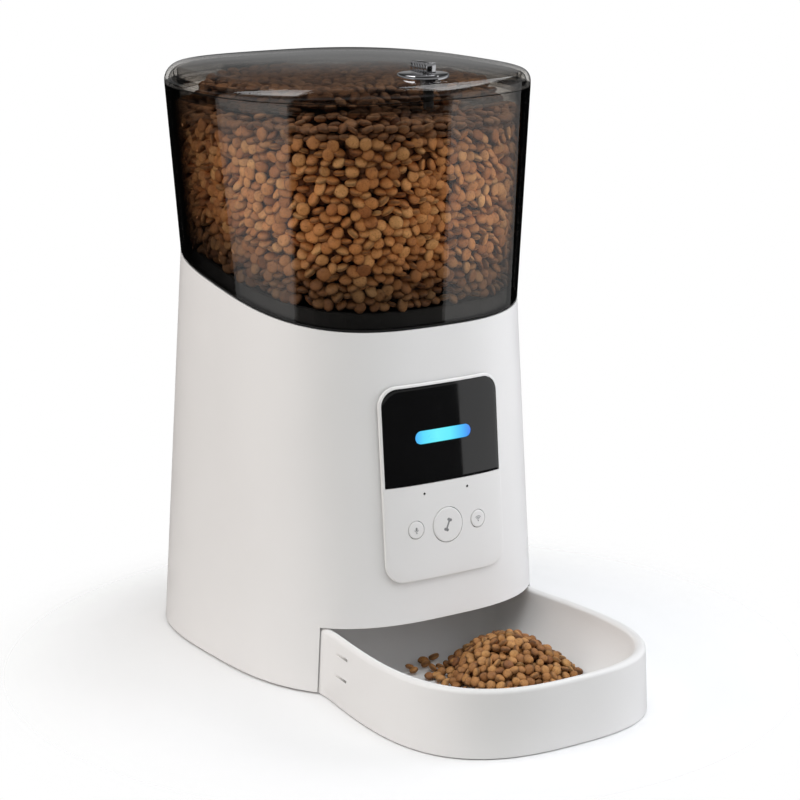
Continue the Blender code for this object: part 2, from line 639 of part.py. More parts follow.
def control_panel():
    front = (0.0, -105 * MM, 0.0)
    outline = rounded_rectangle(-PANEL_HALF_WIDTH, PANEL_BOTTOM, PANEL_HALF_WIDTH, PANEL_TOP, PANEL_CORNER)
    bezel = panel_skin("panel_bezel", outline, "white_abs", PANEL_PROUD, location=front)
    reach = PANEL_HALF_WIDTH - SCREEN_BORDER
    top = PANEL_TOP - SCREEN_BORDER
    corner = PANEL_CORNER - SCREEN_BORDER
    hole = rounded_rectangle(-reach, SCREEN_BOTTOM, reach, top, corner, 0.5 * MM)
    boolean(bezel, panel_prism("screen_cutter", hole))
    for name, x, radius in button_list():
        boolean(bezel, panel_prism(name + "_hole", circle(radius + 0.35 * MM, x, BUTTON_HEIGHT)))
    for side in (-1, 1):
        boolean(bezel, panel_prism("pinhole_%s" % ("left" if side < 0 else "right"),
                                   circle(0.6 * MM, side * 15 * MM, PINHOLE_HEIGHT, 10)))
    glass = rounded_rectangle(-reach + 0.25 * MM, SCREEN_BOTTOM + 0.25 * MM, reach - 0.25 * MM,
                              top - 0.25 * MM, corner, 0.4 * MM)
    window = panel_skin("display_window", glass, "gloss_black", PANEL_PROUD - 0.1 * MM, location=front)
    length = LED_HALF_LENGTH - LED_RADIUS
    boolean(window, panel_prism("led_cutter", pill(length, LED_RADIUS + 0.2 * MM)))
    panel_skin("led_bar", pill(length, LED_RADIUS), "led_glow", PANEL_PROUD, location=front)


def pill(half_length, radius):
    right = arc(half_length, LED_HEIGHT, radius, -pi / 2, pi / 2, 10)
    left = arc(-half_length, LED_HEIGHT, radius, pi / 2, 1.5 * pi, 10)
    return right + left


def button_list():
    return (("mic_button", -BUTTON_SPACING, SIDE_RADIUS), ("feed_button", 0.0, FEED_RADIUS),
            ("wifi_button", BUTTON_SPACING, SIDE_RADIUS))


def buttons():
    """Round caps that follow the panel, each with a stem towards its switch."""
    for name, x, radius in button_list():
        axis = pivot(name + "_axis", (x, -105 * MM, BUTTON_HEIGHT))
        local = circle(radius, 0.0, 0.0)
        cap = panel_skin(name, local, "white_abs", PANEL_PROUD + 0.35 * MM, back=0.6 * MM, parent=axis)
        stem = cylinder(name + "_stem", 1.8 * MM, 10.6 * MM, 12)
        place_cutter(stem, (x, -101.3 * MM, BUTTON_HEIGHT), (pi / 2, 0.0, 0.0))
        boolean(cap, stem, "UNION")


def button_board():
    board = box("button_board", (66 * MM, 1.6 * MM, 92 * MM))
    place(board, "circuit_board", (0.0, -90.6 * MM, 122 * MM))
    for name, x, radius in button_list():
        profile = [(0.0, 3.2 * MM), (1.6 * MM, 3.2 * MM), (1.6 * MM, 2.4 * MM), (3.4 * MM, 2.4 * MM),
                   (3.4 * MM, 0.0), (0.0, 0.0)]
        place(turned(name.replace("button", "switch"), profile, 16), "nylon",
              (x, -91.7 * MM, BUTTON_HEIGHT), (pi / 2, 0.0, 0.0))


# ---- lid and its lock ---------------------------------------------------------------------------
def lid_rings(grow=0.0, below=0.0):
    """Rings from the seam up over the rounded edge; grow moves the skin outwards."""
    low = section(RIM, -grow, 0.35 * MM - below)
    edge = section(LID_EDGE, -grow, 0.0)
    rings = [low, section(RIM, -grow, 1.8 * MM)]
    for step in range(1, 5):
        angle = step * pi / 8
        ring = []
        for a, b in zip(section(RIM, -grow, 1.8 * MM), edge):
            flat = a.lerp(b, 1 - cos(angle))
            flat.z = a.z + (b.z + grow - a.z) * sin(angle)
            ring.append(flat)
        rings.append(ring)
    top = rings[-1]
    for share in (0.8, 0.45):
        rise = LID_RISE * (1 - share ** 2)
        rings.append([Vector((p.x * share, p.y * share, p.z + rise)) for p in top])
    return rings


def lid():
    hinge = pivot("lid_hinge", (0.0, HINGE_Y, HINGE_Z))
    cover = loft("lid", lid_rings())
    fill_top(cover)
    solidify(cover, LID_WALL)
    place(cover, "smoky_plastic", (0.0, -HINGE_Y, -HINGE_Z), parent=hinge)
    skirt = loft("lid_skirt", [section(RIM, inset * MM, lift * MM) for inset, lift in
                               ((5.2, -7.0), (5.2, 7.6), (7.2, 7.6), (7.2, -7.0))], closed=True)
    boolean(cover, place_cutter(skirt), "UNION")
    for piece in hinge_knuckle("lid_knuckle", -8.7 * MM, 8.7 * MM, HINGE_Z + 0.6 * MM, HINGE_Z + 3.0 * MM):
        boolean(cover, piece, "UNION")
    boolean(cover, hinge_bore("lid_hinge_bore", 30 * MM))
    notch = place_cutter(box("latch_notch_cutter", (26 * MM, 14 * MM, 12 * MM)),
                         (0.0, -RIM[1] + 7.3 * MM, RIM[4] - 6.6 * MM))
    boolean(cover, notch)
    hole = cylinder("knob_hole_cutter", 7.3 * MM, 30 * MM, 32)
    boolean(cover, place_cutter(hole, (0.0, KNOB_Y, KNOB_Z)))
    gasket = loft("lid_gasket", [section(RIM, inset * MM, lift * MM) for inset, lift in
                                 ((3.6, -5.0), (3.6, -1.4), (4.9, -1.4), (4.9, -5.0))], closed=True)
    place(gasket, "smoky_plastic", (0.0, -HINGE_Y, -HINGE_Z), parent=hinge)
    boolean(gasket, notch)


def fill_top(item):
    """Close the last ring of an open shell with one face."""
    bm = bmesh.new()
    bm.from_mesh(item.data)
    bm.verts.ensure_lookup_table()
    bm.faces.new(bm.verts[-RING_POINTS:])
    bm.to_mesh(item.data)
    bm.free()


def lid_lock():
    plate = cylinder("knob_plate", PLATE_RADIUS, 8 * MM, 40)
    place(plate, "chrome", (0.0, KNOB_Y + PLATE_SHIFT, KNOB_Z))
    boolean(plate, place_cutter(loft("plate_seat_cutter", lid_rings(grow=GAP, below=6 * MM), cap=True)))
    collar = cylinder("plate_collar", 7 * MM, 6.4 * MM, 32)
    boolean(plate, place_cutter(collar, (0.0, KNOB_Y, KNOB_Z - 0.4 * MM)), "UNION")
    boolean(plate, place_cutter(cylinder("plate_bore", 3.4 * MM, 40 * MM, 24), (0.0, KNOB_Y, KNOB_Z)))
    turn = pivot("knob_axis", (0.0, KNOB_Y, KNOB_Z))
    plate_top = 4.0 * MM + GAP
    height = KNOB_TOP - KNOB_Z - plate_top
    grip = flat_solid("lock_knob", [rounded_rectangle(-3.2 * MM, -3.4 * MM, 3.2 * MM, 14.2 * MM, 1.2 * MM)], height)
    place(grip, "chrome", (0.0, 0.0, plate_top + height / 2), parent=turn)
    low, high = TONGUE_Z + 1.6 * MM, KNOB_TOP - 3 * MM
    stem = cylinder("knob_stem", 3.0 * MM, high - low, 24)
    boolean(grip, place_cutter(stem, (0.0, KNOB_Y, (low + high) / 2)), "UNION")
    tongue = flat_curve("lock_cam", [rounded_rectangle(-5 * MM, -5 * MM, TONGUE_LENGTH, 5 * MM, 3 * MM)], 2.6 * MM)
    place(tongue, "smoky_plastic", (0.0, 0.0, TONGUE_Z - KNOB_Z), parent=turn)


def latch_keeper():
    """Small ledge inside the front of the rim, which the tongue turns under."""
    keeper = box("latch_keeper", (18 * MM, 5.2 * MM, 2.4 * MM))
    place(keeper, "smoky_plastic", (0.0, -RIM[1] + 5.4 * MM, TONGUE_Z + 3.1 * MM))
    wall = place_cutter(loft("keeper_wall_cutter", [between(WAIST, RIM, part, HOPPER_WALL + GAP)
                                                   for part in (0.5, 1.0)], cap=True))
    boolean(keeper, wall, "INTERSECT")


# ---- bowl ---------------------------------------------------------------------------------------
def bowl_ring(inset, z, count=RING_POINTS):
    """A ring of the tray: flared and rounded in front, straight with tight corners behind."""
    lean = BOWL_LEAN * z / BOWL_HEIGHT
    half_width = BOWL_HALF_WIDTH - lean - inset
    front = BOWL_FRONT_LENGTH - inset
    rear = BOWL_REAR_LENGTH - inset
    ring = []
    for i in range(count):
        angle = 2 * pi * i / count
        c, s = cos(angle), sin(angle)
        if s < 0:
            x = half_width * copysign(abs(c) ** (2 / BOWL_SIDE_POWER), c)
            reach = abs(s) ** (2 / BOWL_FRONT_POWER)
            x *= 1 + BOWL_FLARE * reach
            y = BOWL_CENTRE_Y - front * reach
        else:
            x = half_width * copysign(abs(c) ** (2 / 7.0), c)
            y = BOWL_CENTRE_Y + rear * abs(s) ** (2 / 7.0)
        ring.append(Vector((x, y, z)))
    return ring


def bowl():
    slide = pivot("bowl_slide", (0.0, BOWL_CENTRE_Y, 0.0))
    half_rim = BOWL_RIM / 2
    rings = [bowl_ring(0.0, 0.4 * MM), bowl_ring(0.0, BOWL_HEIGHT - half_rim)]
    for step in range(1, 5):
        angle = step * pi / 4
        rings.append(bowl_ring(half_rim * (1 - cos(angle)), BOWL_HEIGHT - half_rim * (1 - sin(angle))))
    depth = BOWL_HEIGHT - half_rim - 5.5 * MM
    for step in range(1, 6):
        angle = step * pi / 10
        rings.append(bowl_ring(BOWL_RIM + 30 * MM * (1 - cos(angle)) ** 0.9 + 2 * MM * sin(angle),
                               BOWL_HEIGHT - half_rim - depth * sin(angle)))
    tray = loft("bowl_tray", rings)
    fill_top(tray)
    solidify(tray, BOWL_SHEET)
    place(tray, "white_abs", (0.0, -BOWL_CENTRE_Y, 0.0), parent=slide)
    for side in (-1, 1):
        for z in (17.9 * MM, 30.6 * MM):
            groove = box("bowl_groove_%s_%d" % ("left" if side < 0 else "right", round(z / MM)),
                         (3.4 * MM, 16 * MM, 1.2 * MM))
            x = side * (BOWL_HALF_WIDTH * 1.0277 - BOWL_LEAN * z / BOWL_HEIGHT + 0.2 * MM)
            boolean(tray, place_cutter(groove, (x, -112 * MM, z), (0.0, 0.0, -side * 0.124)))


# ---- build --------------------------------------------------------------------------------------
clear_scene()
PARTS = make_collection("automatic_pet_feeder")
CUTTERS = make_collection("cutters")
ROOT = bpy.data.objects.new("feeder_root", None)
ROOT.location = (0.0, BODY_Y, 0.0)
PARTS.objects.link(ROOT)

housing()
base_plate()
feet()
base_screws()
dc_jack()
hopper()
hinge_pin()
hopper_seal()
funnel()
rotor_chamber()
chamber_cover()
rotor()
gears()
gear_cover()
gear_motor()
chute()
food_sensor()
electronics()
battery_box()
battery_cover()
control_panel()
buttons()
button_board()
lid()
lid_lock()
latch_keeper()
bowl()
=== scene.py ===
"""Looks of the automatic pet feeder: fine shells, materials, kibble, studio and camera.

Shapes are built in metres with the housing's centre at y = 0, and move back by BODY_Y when they are
finished, which puts them in the frame's own coordinates.
"""
import json
from math import ceil, cos, dist, hypot, pi as PI, radians, sin

import bmesh
import bpy
import numpy as np
from mathutils import Matrix, Vector, kdtree


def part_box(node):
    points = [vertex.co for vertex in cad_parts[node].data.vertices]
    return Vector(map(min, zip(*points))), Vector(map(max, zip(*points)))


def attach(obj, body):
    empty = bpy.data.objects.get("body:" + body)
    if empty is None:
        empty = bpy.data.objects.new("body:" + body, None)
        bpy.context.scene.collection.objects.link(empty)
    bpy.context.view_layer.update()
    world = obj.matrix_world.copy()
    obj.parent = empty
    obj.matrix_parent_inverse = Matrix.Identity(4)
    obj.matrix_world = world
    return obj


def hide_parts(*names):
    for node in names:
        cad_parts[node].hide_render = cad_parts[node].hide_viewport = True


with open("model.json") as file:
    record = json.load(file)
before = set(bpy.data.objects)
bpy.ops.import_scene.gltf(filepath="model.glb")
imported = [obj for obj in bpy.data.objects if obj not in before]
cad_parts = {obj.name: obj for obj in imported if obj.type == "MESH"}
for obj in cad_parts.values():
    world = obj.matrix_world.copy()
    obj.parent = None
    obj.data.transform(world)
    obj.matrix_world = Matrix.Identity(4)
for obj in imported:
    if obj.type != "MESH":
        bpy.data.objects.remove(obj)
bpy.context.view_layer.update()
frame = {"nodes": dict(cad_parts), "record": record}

MM = 0.001
SEAL_LOW, SEAL_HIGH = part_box("hopper_seal")
BODY_Y = (SEAL_LOW.y + SEAL_HIGH.y) / 2

# Outlines: half width, half depth, squareness, centre y, height at y = 0, rise per metre of depth.
BASE = (97.5 * MM, 117.8 * MM, 2.9, 4.4 * MM, 0.0, 0.0)
WAIST = (90.2 * MM, 95.5 * MM, 2.93, 0.0, 228.9 * MM, 0.18)
RIM = (102.9 * MM, 105.3 * MM, 2.35, 0.0, 341.9 * MM, 0.0)
LID_EDGE = (87.9 * MM, 100.6 * MM, 2.87, 0.0, 351.7 * MM, 0.0)
LID_RISE = 3.5 * MM
LEDGE = 12.5 * MM
GAP = 0.3 * MM
WALL = 2.6 * MM
LID_WALL = 2.4 * MM

BOWL_HALF_WIDTH = 76.6 * MM
BOWL_CENTRE_Y = -95.8 * MM
BOWL_FRONT_LENGTH = 137.4 * MM
BOWL_REAR_LENGTH = 48.0 * MM
BOWL_SIDE_POWER = 2.71
BOWL_FRONT_POWER = 3.26
BOWL_FLARE = 0.24
BOWL_LEAN = 2.5 * MM
BOWL_HEIGHT = 39.5 * MM
BOWL_RIM = 5.2 * MM
BOWL_SHEET = 2.0 * MM
BOWL_FLOOR = 5.7 * MM
ARCH_HEIGHT = 40.2 * MM

PANEL_HALF_WIDTH = 41.7 * MM
PANEL_BOTTOM = 65.0 * MM
PANEL_TOP = 180.1 * MM
PANEL_CORNER = 11.5 * MM
PANEL_PROUD = 2.3 * MM
SCREEN_BOTTOM = 121.3 * MM
SCREEN_BORDER = 1.6 * MM
LED_HEIGHT = 148.6 * MM
LED_HALF_LENGTH = 19.2 * MM
LED_RADIUS = 3.7 * MM
BUTTON_HEIGHT = 95.3 * MM
BUTTON_SPACING = 21.7 * MM
FEED_RADIUS = 10.2 * MM
SIDE_RADIUS = 5.1 * MM
PINHOLE_HEIGHT = 115.7 * MM
PINHOLE_SPACING = 15 * MM
PANEL_TOOL_Y = (-140 * MM, -80 * MM)

HINGE_Y = RIM[1] + 3.9 * MM
HINGE_Z = RIM[4]
KNUCKLE_RADIUS = 3.4 * MM
PIN_BORE = 1.7 * MM
KNOB_Y = -86.5 * MM
KNOB_Z = 351.0 * MM
KNOB_TOP = 361.3 * MM
PLATE_RADIUS = 14.8 * MM
PLATE_SHIFT = 5.4 * MM
RIB_PITCH = 2.6 * MM
GRILLE_PITCH = 5 * MM

# Food: the pieces' sizes, how the heap in the hopper lies, and the painted shade that darkens it towards its
# foot and rim.
KIBBLE_RADIUS = 4.1 * MM
KIBBLE_FLAT = 0.42
KIBBLE_SPACING = 5.5 * MM
TOP_PITCH = 7.0 * MM
BITE_RADIUS = 3.0 * MM
BITE_FLAT = 0.55
BITE_SPACING = 4.5 * MM
BITE_PITCH = 5.0 * MM
ROW_STEP = 0.87
# Painted shade: how much darker each piece is at its rim.
PIECE_RIM_PAINTED_SHADE = 0.65
FILL_EDGE = 326 * MM
FILL_MIDDLE = 343 * MM
HEAP_WIDTH = 0.93
HEAP_SHARE = 0.80
HEAP_SLOPE = 0.25
FILL_LOCK = 327.5 * MM
LOCK_CLEARANCE = 19 * MM
LOCK_SLOPE = 0.6
# Painted shade on the heap: the height over which it lightens from its foot, and where and over what depth a
# painted shadow of the lid darkens it below the rim.
FOOT_PAINTED_SHADE = 38 * MM
LID_PAINTED_SHADOW_START = 297 * MM
LID_PAINTED_SHADOW_DEPTH = 30 * MM
CORE_DEPTH = 14.5 * MM

RING_POINTS = 224
COLLECTION = bpy.context.scene.collection
CUTTERS = []


# ---- materials ----
class Tree:
    """A node tree, built a node at a time."""

    def __init__(self, tree):
        self.tree = tree

    def feed(self, socket, value):
        """Give an input its own value, or the output that feeds it."""
        if isinstance(value, bpy.types.NodeSocket):
            self.tree.links.new(value, socket)
        else:
            socket.default_value = value

    def node(self, kind, values=None, **settings):
        """Add a node; values are what its inputs are fed, by name or number."""
        made = self.tree.nodes.new("ShaderNode" + kind)
        for key, value in settings.items():
            setattr(made, key, value)
        for key, value in (values or {}).items():
            self.feed(made.inputs[key], value)
        return made

    def ramp(self, factor, *stops):
        """Colour ramp: stops are (position, grey or colour), from low to high."""
        made = self.node("ValToRGB", {"Fac": factor})
        elements = made.color_ramp.elements
        elements.remove(elements[1])
        for number, (position, colour) in enumerate(stops):
            if isinstance(colour, (int, float)):
                colour = (colour, colour, colour)
            element = elements.new(position) if number else elements[0]
            element.position = position
            element.color = (*colour, 1.0)
        return made.outputs["Color"]

    def mixed(self, factor, first, second):
        """Blend of two shaders."""
        return self.node("MixShader", {0: factor, 1: first, 2: second}).outputs["Shader"]


class Look(Tree):
    """A material's node tree."""

    def __init__(self, name):
        self.material = bpy.data.materials.new(name)
        self.material.use_nodes = True
        super().__init__(self.material.node_tree)
        self.shader = self.tree.nodes["Principled BSDF"]
        self.where = self.node("TexCoord").outputs["Object"]

    def surface(self, shader):
        self.feed(self.tree.nodes["Material Output"].inputs["Surface"], shader)
        return self.material

    def noise(self, scale, detail=2.0, roughness=0.5, stretch=None):
        where = self.where
        if stretch:
            where = self.node("Mapping", {"Scale": stretch, "Vector": where}).outputs["Vector"]
        return self.node("TexNoise", {"Scale": scale, "Detail": detail, "Roughness": roughness,
                                                "Vector": where}).outputs["Fac"]

    def spread(self, factor, low, high):
        """Map a 0.3 to 0.7 noise onto low to high."""
        return self.node("MapRange", {"Value": factor, "From Min": 0.3, "From Max": 0.7,
                                                "To Min": low, "To Max": high}).outputs["Result"]

    def along_x(self, half_length):
        """0 at one end of the piece and 1 at the other."""
        split = self.node("SeparateXYZ", {"Vector": self.where})
        return self.node("MapRange", {"Value": split.outputs["X"], "From Min": -half_length,
                                                "From Max": half_length}).outputs["Result"]

    def bump(self, height, distance, after=None):
        values = {"Distance": distance, "Height": height}
        if after:
            values["Normal"] = after
        return self.node("Bump", values).outputs["Normal"]

    def set(self, **values):
        names = {"colour": "Base Color", "roughness": "Roughness", "metallic": "Metallic", "ior": "IOR",
                 "normal": "Normal", "glow": "Emission Strength", "glow_colour": "Emission Color",
                 "specular": "Specular IOR Level"}
        for key, value in values.items():
            self.feed(self.shader.inputs[names[key]], (*value, 1.0) if isinstance(value, tuple) else value)
        return self.material


def tinted(colour, share):
    return tuple(c * share for c in colour)


def moulded(name, colour, rough, grain, depth, mottle, rough_spread, ior=1.5):
    """Moulded plastic: faint tone drift, spark-eroded grain and uneven gloss."""
    look = Look(name)
    drift = look.noise(14.0, 3.0)
    tone = look.ramp(drift, (0.3, tinted(colour, 1 - mottle)), (0.7, tinted(colour, 1 + mottle)))
    fine = look.noise(grain, 2.0, 0.6)
    gloss = look.spread(look.noise(60.0, 4.0), rough - rough_spread, rough + rough_spread)
    return look.set(colour=tone, roughness=gloss, normal=look.bump(fine, depth * MM), ior=ior)


def smoky_plastic(name, *stops):
    """Dark clear wall under a gloss: its tint depends on how steeply the eye looks through it, and the
    lamps shine through it nearly untinted. Stops are (steepness, tint)."""
    look = Look(name)
    look.tree.nodes.remove(look.shader)
    warm = [(position, (tone, tone * 0.985, tone * 0.965)) for position, tone in stops]
    facing = look.node("LayerWeight", {"Blend": 0.5}).outputs["Facing"]
    lamp_ray = look.node("LightPath").outputs["Is Shadow Ray"]
    tint = look.node("Mix", {0: lamp_ray, 6: look.ramp(facing, *warm), 7: (1.0, 0.99, 0.98, 1.0)},
                     data_type="RGBA")
    through = look.node("BsdfTransparent", {"Color": tint.outputs[2]})
    gloss = look.node("BsdfGlossy", {
        "Color": (1.0, 1.0, 1.0, 1.0), "Roughness": look.spread(look.noise(35.0, 4.0), 0.004, 0.014),
        "Normal": look.bump(look.noise(9.0, 1.0), 0.02 * MM)})
    steep = look.node("Math", {0: facing, 1: 7.0}, operation="POWER")
    shine = look.node("Math", {0: steep.outputs["Value"], 1: 0.96, 2: 0.04},
                      operation="MULTIPLY_ADD")
    return look.surface(look.mixed(shine.outputs["Value"], through.outputs["BSDF"], gloss.outputs["BSDF"]))


def gloss_black():
    look = Look("screen_black")
    haze = look.noise(25.0, 3.0)
    return look.set(colour=look.ramp(haze, (0.3, (0.0050, 0.0050, 0.0052)), (0.7, (0.0075, 0.0075, 0.0078))),
                    roughness=look.spread(look.noise(80.0, 4.0), 0.03, 0.07), ior=1.62,
                    normal=look.bump(look.noise(20.0, 1.0), 0.006 * MM))


def led_glow():
    """Light guide: cyan in the middle and bluer towards both ends."""
    look = Look("led_light")
    hue = look.ramp(look.along_x(LED_HALF_LENGTH), (0.0, (0.065, 0.42, 0.90)), (0.14, (0.10, 0.70, 0.95)),
                    (0.38, (0.15, 0.86, 0.93)), (0.62, (0.12, 0.80, 0.95)),
                    (0.86, (0.055, 0.42, 0.92)), (1.0, (0.04, 0.17, 0.78)))
    return look.set(colour=(0.02, 0.05, 0.08), roughness=look.spread(look.noise(90.0, 2.0), 0.25, 0.35),
                    glow_colour=hue, glow=1.0)


def metal(name, colour, rough, stretch, spread=0.08, depth=0.004):
    look = Look(name)
    lines = look.noise(900.0, 3.0, 0.6, stretch)
    stain = look.noise(30.0, 3.0)
    return look.set(colour=look.ramp(stain, (0.3, tinted(colour, 0.93)), (0.7, colour)), metallic=1.0,
                    roughness=look.spread(lines, rough - spread, rough + spread),
                    normal=look.bump(lines, depth * MM))


def circuit_board():
    """Green mask with paler copper tracks under it."""
    look = Look("board_green")
    turn = look.node("Mapping", {"Rotation": (PI / 2, 0.0, 0.0), "Vector": look.where})
    bricks = look.node("TexBrick", {
        "Vector": turn.outputs["Vector"], "Scale": 1.0, "Brick Width": 7.0 * MM, "Row Height": 2.2 * MM,
        "Mortar Size": 0.35 * MM, "Color1": (0.012, 0.115, 0.045, 1.0),
        "Color2": (0.016, 0.14, 0.055, 1.0), "Mortar": (0.05, 0.24, 0.10, 1.0)})
    return look.set(colour=bricks.outputs["Color"], roughness=look.spread(look.noise(70.0, 3.0), 0.3, 0.45),
                    normal=look.bump(bricks.outputs["Fac"], 0.03 * MM))


def battery_wrap():
    """Dark shrink wrap with a copper coloured band at one end."""
    look = Look("cell_wrap")
    wrap = look.ramp(look.along_x(31 * MM), (0.0, (0.035, 0.035, 0.045)), (0.74, (0.035, 0.035, 0.045)),
                     (0.75, (0.42, 0.20, 0.08)), (1.0, (0.45, 0.22, 0.09)))
    return look.set(colour=wrap, roughness=look.spread(look.noise(120.0, 3.0), 0.22, 0.36),
                    normal=look.bump(look.noise(600.0, 2.0), 0.01 * MM))


def kibble_look(name, dark, middle, light):
    """Baked dough: each piece's own shade times its tone, which is painted shade, with browner blotches and a
    dry, pitted face.
    """
    look = Look(name)
    shade = look.node("Attribute", attribute_name="shade")
    tone = look.node("Attribute", attribute_name="tone")
    pits, blotch = look.noise(900.0, 3.0, 0.6), look.noise(260.0, 3.0, 0.6)
    colour = look.ramp(shade.outputs["Fac"], (0.0, dark), (0.5, middle), (1.0, light))
    # The tone attribute multiplies in painted shade.
    for layer in (look.ramp(tone.outputs["Fac"], (0.0, 0.0), (1.0, 1.0)),
                  look.ramp(blotch, (0.30, (0.74, 0.69, 0.62)), (0.60, 1.0)),
                  look.ramp(pits, (0.32, (0.62, 0.55, 0.48)), (0.44, 1.0))):
        colour = look.node("Mix", {0: 1.0, 6: colour, 7: layer}, data_type="RGBA",
                           blend_type="MULTIPLY").outputs[2]
    rough = look.bump(blotch, 0.12 * MM, after=look.bump(pits, 0.07 * MM))
    return look.set(colour=colour, roughness=look.spread(blotch, 0.55, 0.78), normal=rough, ior=1.45)


def printed_ink():
    look = Look("ink_grey")
    grey = look.ramp(look.noise(900.0, 2.0), (0.3, (0.20, 0.20, 0.205)), (0.7, (0.26, 0.26, 0.265)))
    return look.set(colour=grey, roughness=look.spread(look.noise(300.0, 2.0), 0.5, 0.6))


LOOKS = {
    "white_abs": moulded("abs_white", (0.815, 0.807, 0.796), 0.40, 7000.0, 0.010, 0.012, 0.04),
    "smoky_plastic": smoky_plastic("smoky_wall", (0.0, 0.94), (0.25, 0.93), (0.38, 0.88), (0.50, 0.74),
                                   (0.60, 0.52), (0.72, 0.14), (0.80, 0.01)),
    "black_plastic": moulded("plastic_black", (0.010, 0.010, 0.0105), 0.50, 4500.0, 0.02, 0.12, 0.06),
    "gloss_black": gloss_black(),
    "led_glow": led_glow(),
    "rubber": moulded("rubber_black", (0.010, 0.010, 0.010), 0.72, 2500.0, 0.03, 0.15, 0.08),
    "silicone": moulded("silicone_grey", (0.50, 0.51, 0.52), 0.55, 2000.0, 0.02, 0.03, 0.06, 1.41),
    "steel": metal("steel_turned", (0.58, 0.58, 0.59), 0.30, (1.0, 12.0, 12.0)),
    "nickel": metal("nickel_plate", (0.66, 0.64, 0.59), 0.26, (8.0, 1.0, 1.0)),
    "circuit_board": circuit_board(),
    "nylon": moulded("nylon_natural", (0.72, 0.70, 0.63), 0.48, 3000.0, 0.015, 0.03, 0.05, 1.53),
    "battery_wrap": battery_wrap(),
    "chrome": metal("chrome_bright", (0.62, 0.62, 0.64), 0.07, (1.0, 1.0, 1.0), 0.03, 0.002),
}
SMOKY_LID = smoky_plastic("smoky_lid", (0.0, 0.79), (0.50, 0.79), (0.70, 0.84), (0.84, 0.82),
                          (0.88, 0.68), (0.91, 0.34), (0.94, 0.03), (0.96, 0.0))
INK = printed_ink()
KIBBLE = kibble_look("kibble_large", (0.50, 0.185, 0.054), (0.78, 0.340, 0.108), (0.95, 0.52, 0.205))
# Darker copy of the kibble for the layers behind the front one: painted shade.
KIBBLE_PAINTED_SHADE = kibble_look("kibble_shadowed", (0.15, 0.050, 0.016), (0.23, 0.085, 0.028), (0.30, 0.125, 0.045))
# Darker copy of the kibble for the top of the heap: painted shade under the lid.
KIBBLE_TOP = kibble_look("kibble_top_painted_shade", (0.30, 0.120, 0.042), (0.46, 0.205, 0.080), (0.60, 0.300, 0.130))
# Near-black brown for the plain core within the heap: painted shade in the gaps between the pieces.
CORE_PAINTED_SHADE = moulded("food_core_painted_shade", (0.035, 0.015, 0.006), 0.8, 300.0, 0.6, 0.4, 0.08)
KIBBLE_SMALL = kibble_look("kibble_small", (0.26, 0.100, 0.030), (0.45, 0.205, 0.062), (0.66, 0.350, 0.125))

for row in frame["record"]["subparts"]:
    clear = row["material_slot"] == "smoky_plastic"
    materials = frame["nodes"][row["node"]].data.materials
    materials.clear()
    materials.append(SMOKY_LID if clear else LOOKS[row["material_slot"]])


# ---- outlines ----
def power_point(half_x, half_y, power, centre_y, angles):
    c, s = np.cos(angles), np.sin(angles)
    return (half_x * np.sign(c) * np.abs(c) ** (2 / power),
            centre_y + half_y * np.sign(s) * np.abs(s) ** (2 / power))


def even_angles(make, count):
    """Angles that space an outline's points evenly along it."""
    dense = np.linspace(0.0, 2 * PI, 6001)
    x, y = make(dense)
    length = np.concatenate([[0.0], np.cumsum(np.hypot(np.diff(x), np.diff(y)))])
    return np.interp(np.linspace(0.0, length[-1], count, endpoint=False), length, dense)


def waist_angles(count):
    return even_angles(lambda angles: power_point(*WAIST[:4], angles), count)


ANGLES = waist_angles(RING_POINTS)


def section(shape, inset=0.0, lift=0.0, angles=None):
    half_x, half_y, power, centre_y, height, slope = shape
    x, y = power_point(half_x - inset, half_y - inset, power, centre_y,
                       ANGLES if angles is None else angles)
    return np.column_stack([x, y, height + slope * y + lift])


def between(lower, upper, part, inset=0.0):
    return section(lower, inset) * (1 - part) + section(upper, inset) * part


def bowl_outline(angles, half_width, front, rear):
    c, s = np.cos(angles), np.sin(angles)
    reach = np.abs(s) ** (2 / BOWL_FRONT_POWER)
    x_front = half_width * np.sign(c) * np.abs(c) ** (2 / BOWL_SIDE_POWER) * (1 + BOWL_FLARE * reach)
    x_rear = half_width * np.sign(c) * np.abs(c) ** (2 / 7.0)
    y_rear = BOWL_CENTRE_Y + rear * np.abs(s) ** (2 / 7.0)
    ahead = s < 0
    return np.where(ahead, x_front, x_rear), np.where(ahead, BOWL_CENTRE_Y - front * reach, y_rear)


BOWL_ANGLES = even_angles(
    lambda angles: bowl_outline(angles, BOWL_HALF_WIDTH, BOWL_FRONT_LENGTH, BOWL_REAR_LENGTH), 256)


def bowl_ring(inset, z):
    half_width = BOWL_HALF_WIDTH - BOWL_LEAN * z / BOWL_HEIGHT - inset
    x, y = bowl_outline(BOWL_ANGLES, half_width, BOWL_FRONT_LENGTH - inset, BOWL_REAR_LENGTH - inset)
    return np.column_stack([x, y, np.full(len(x), z)])


def front_y(x, z, proud=0.0):
    """Depth of the housing's front skin at arrays of x and z, proud metres outside it."""
    x, z = np.abs(np.asarray(x, float)), np.asarray(z, float)
    base, waist = ((s[0] + proud, s[1] + proud, s[2], s[3]) for s in (BASE, WAIST))
    part = z / WAIST[4]
    for _ in range(5):
        low, high = np.zeros_like(x), np.full_like(x, PI / 2)
        for _ in range(34):
            middle = (low + high) / 2
            wide, deep = power_point(*base, -middle)
            wide_top, deep_top = power_point(*waist, -middle)
            outside = wide * (1 - part) + wide_top * part > x
            low, high = np.where(outside, middle, low), np.where(outside, high, middle)
        top = WAIST[4] + WAIST[5] * deep_top
        part = part + (z - part * top) / top
    return deep * (1 - part) + deep_top * part


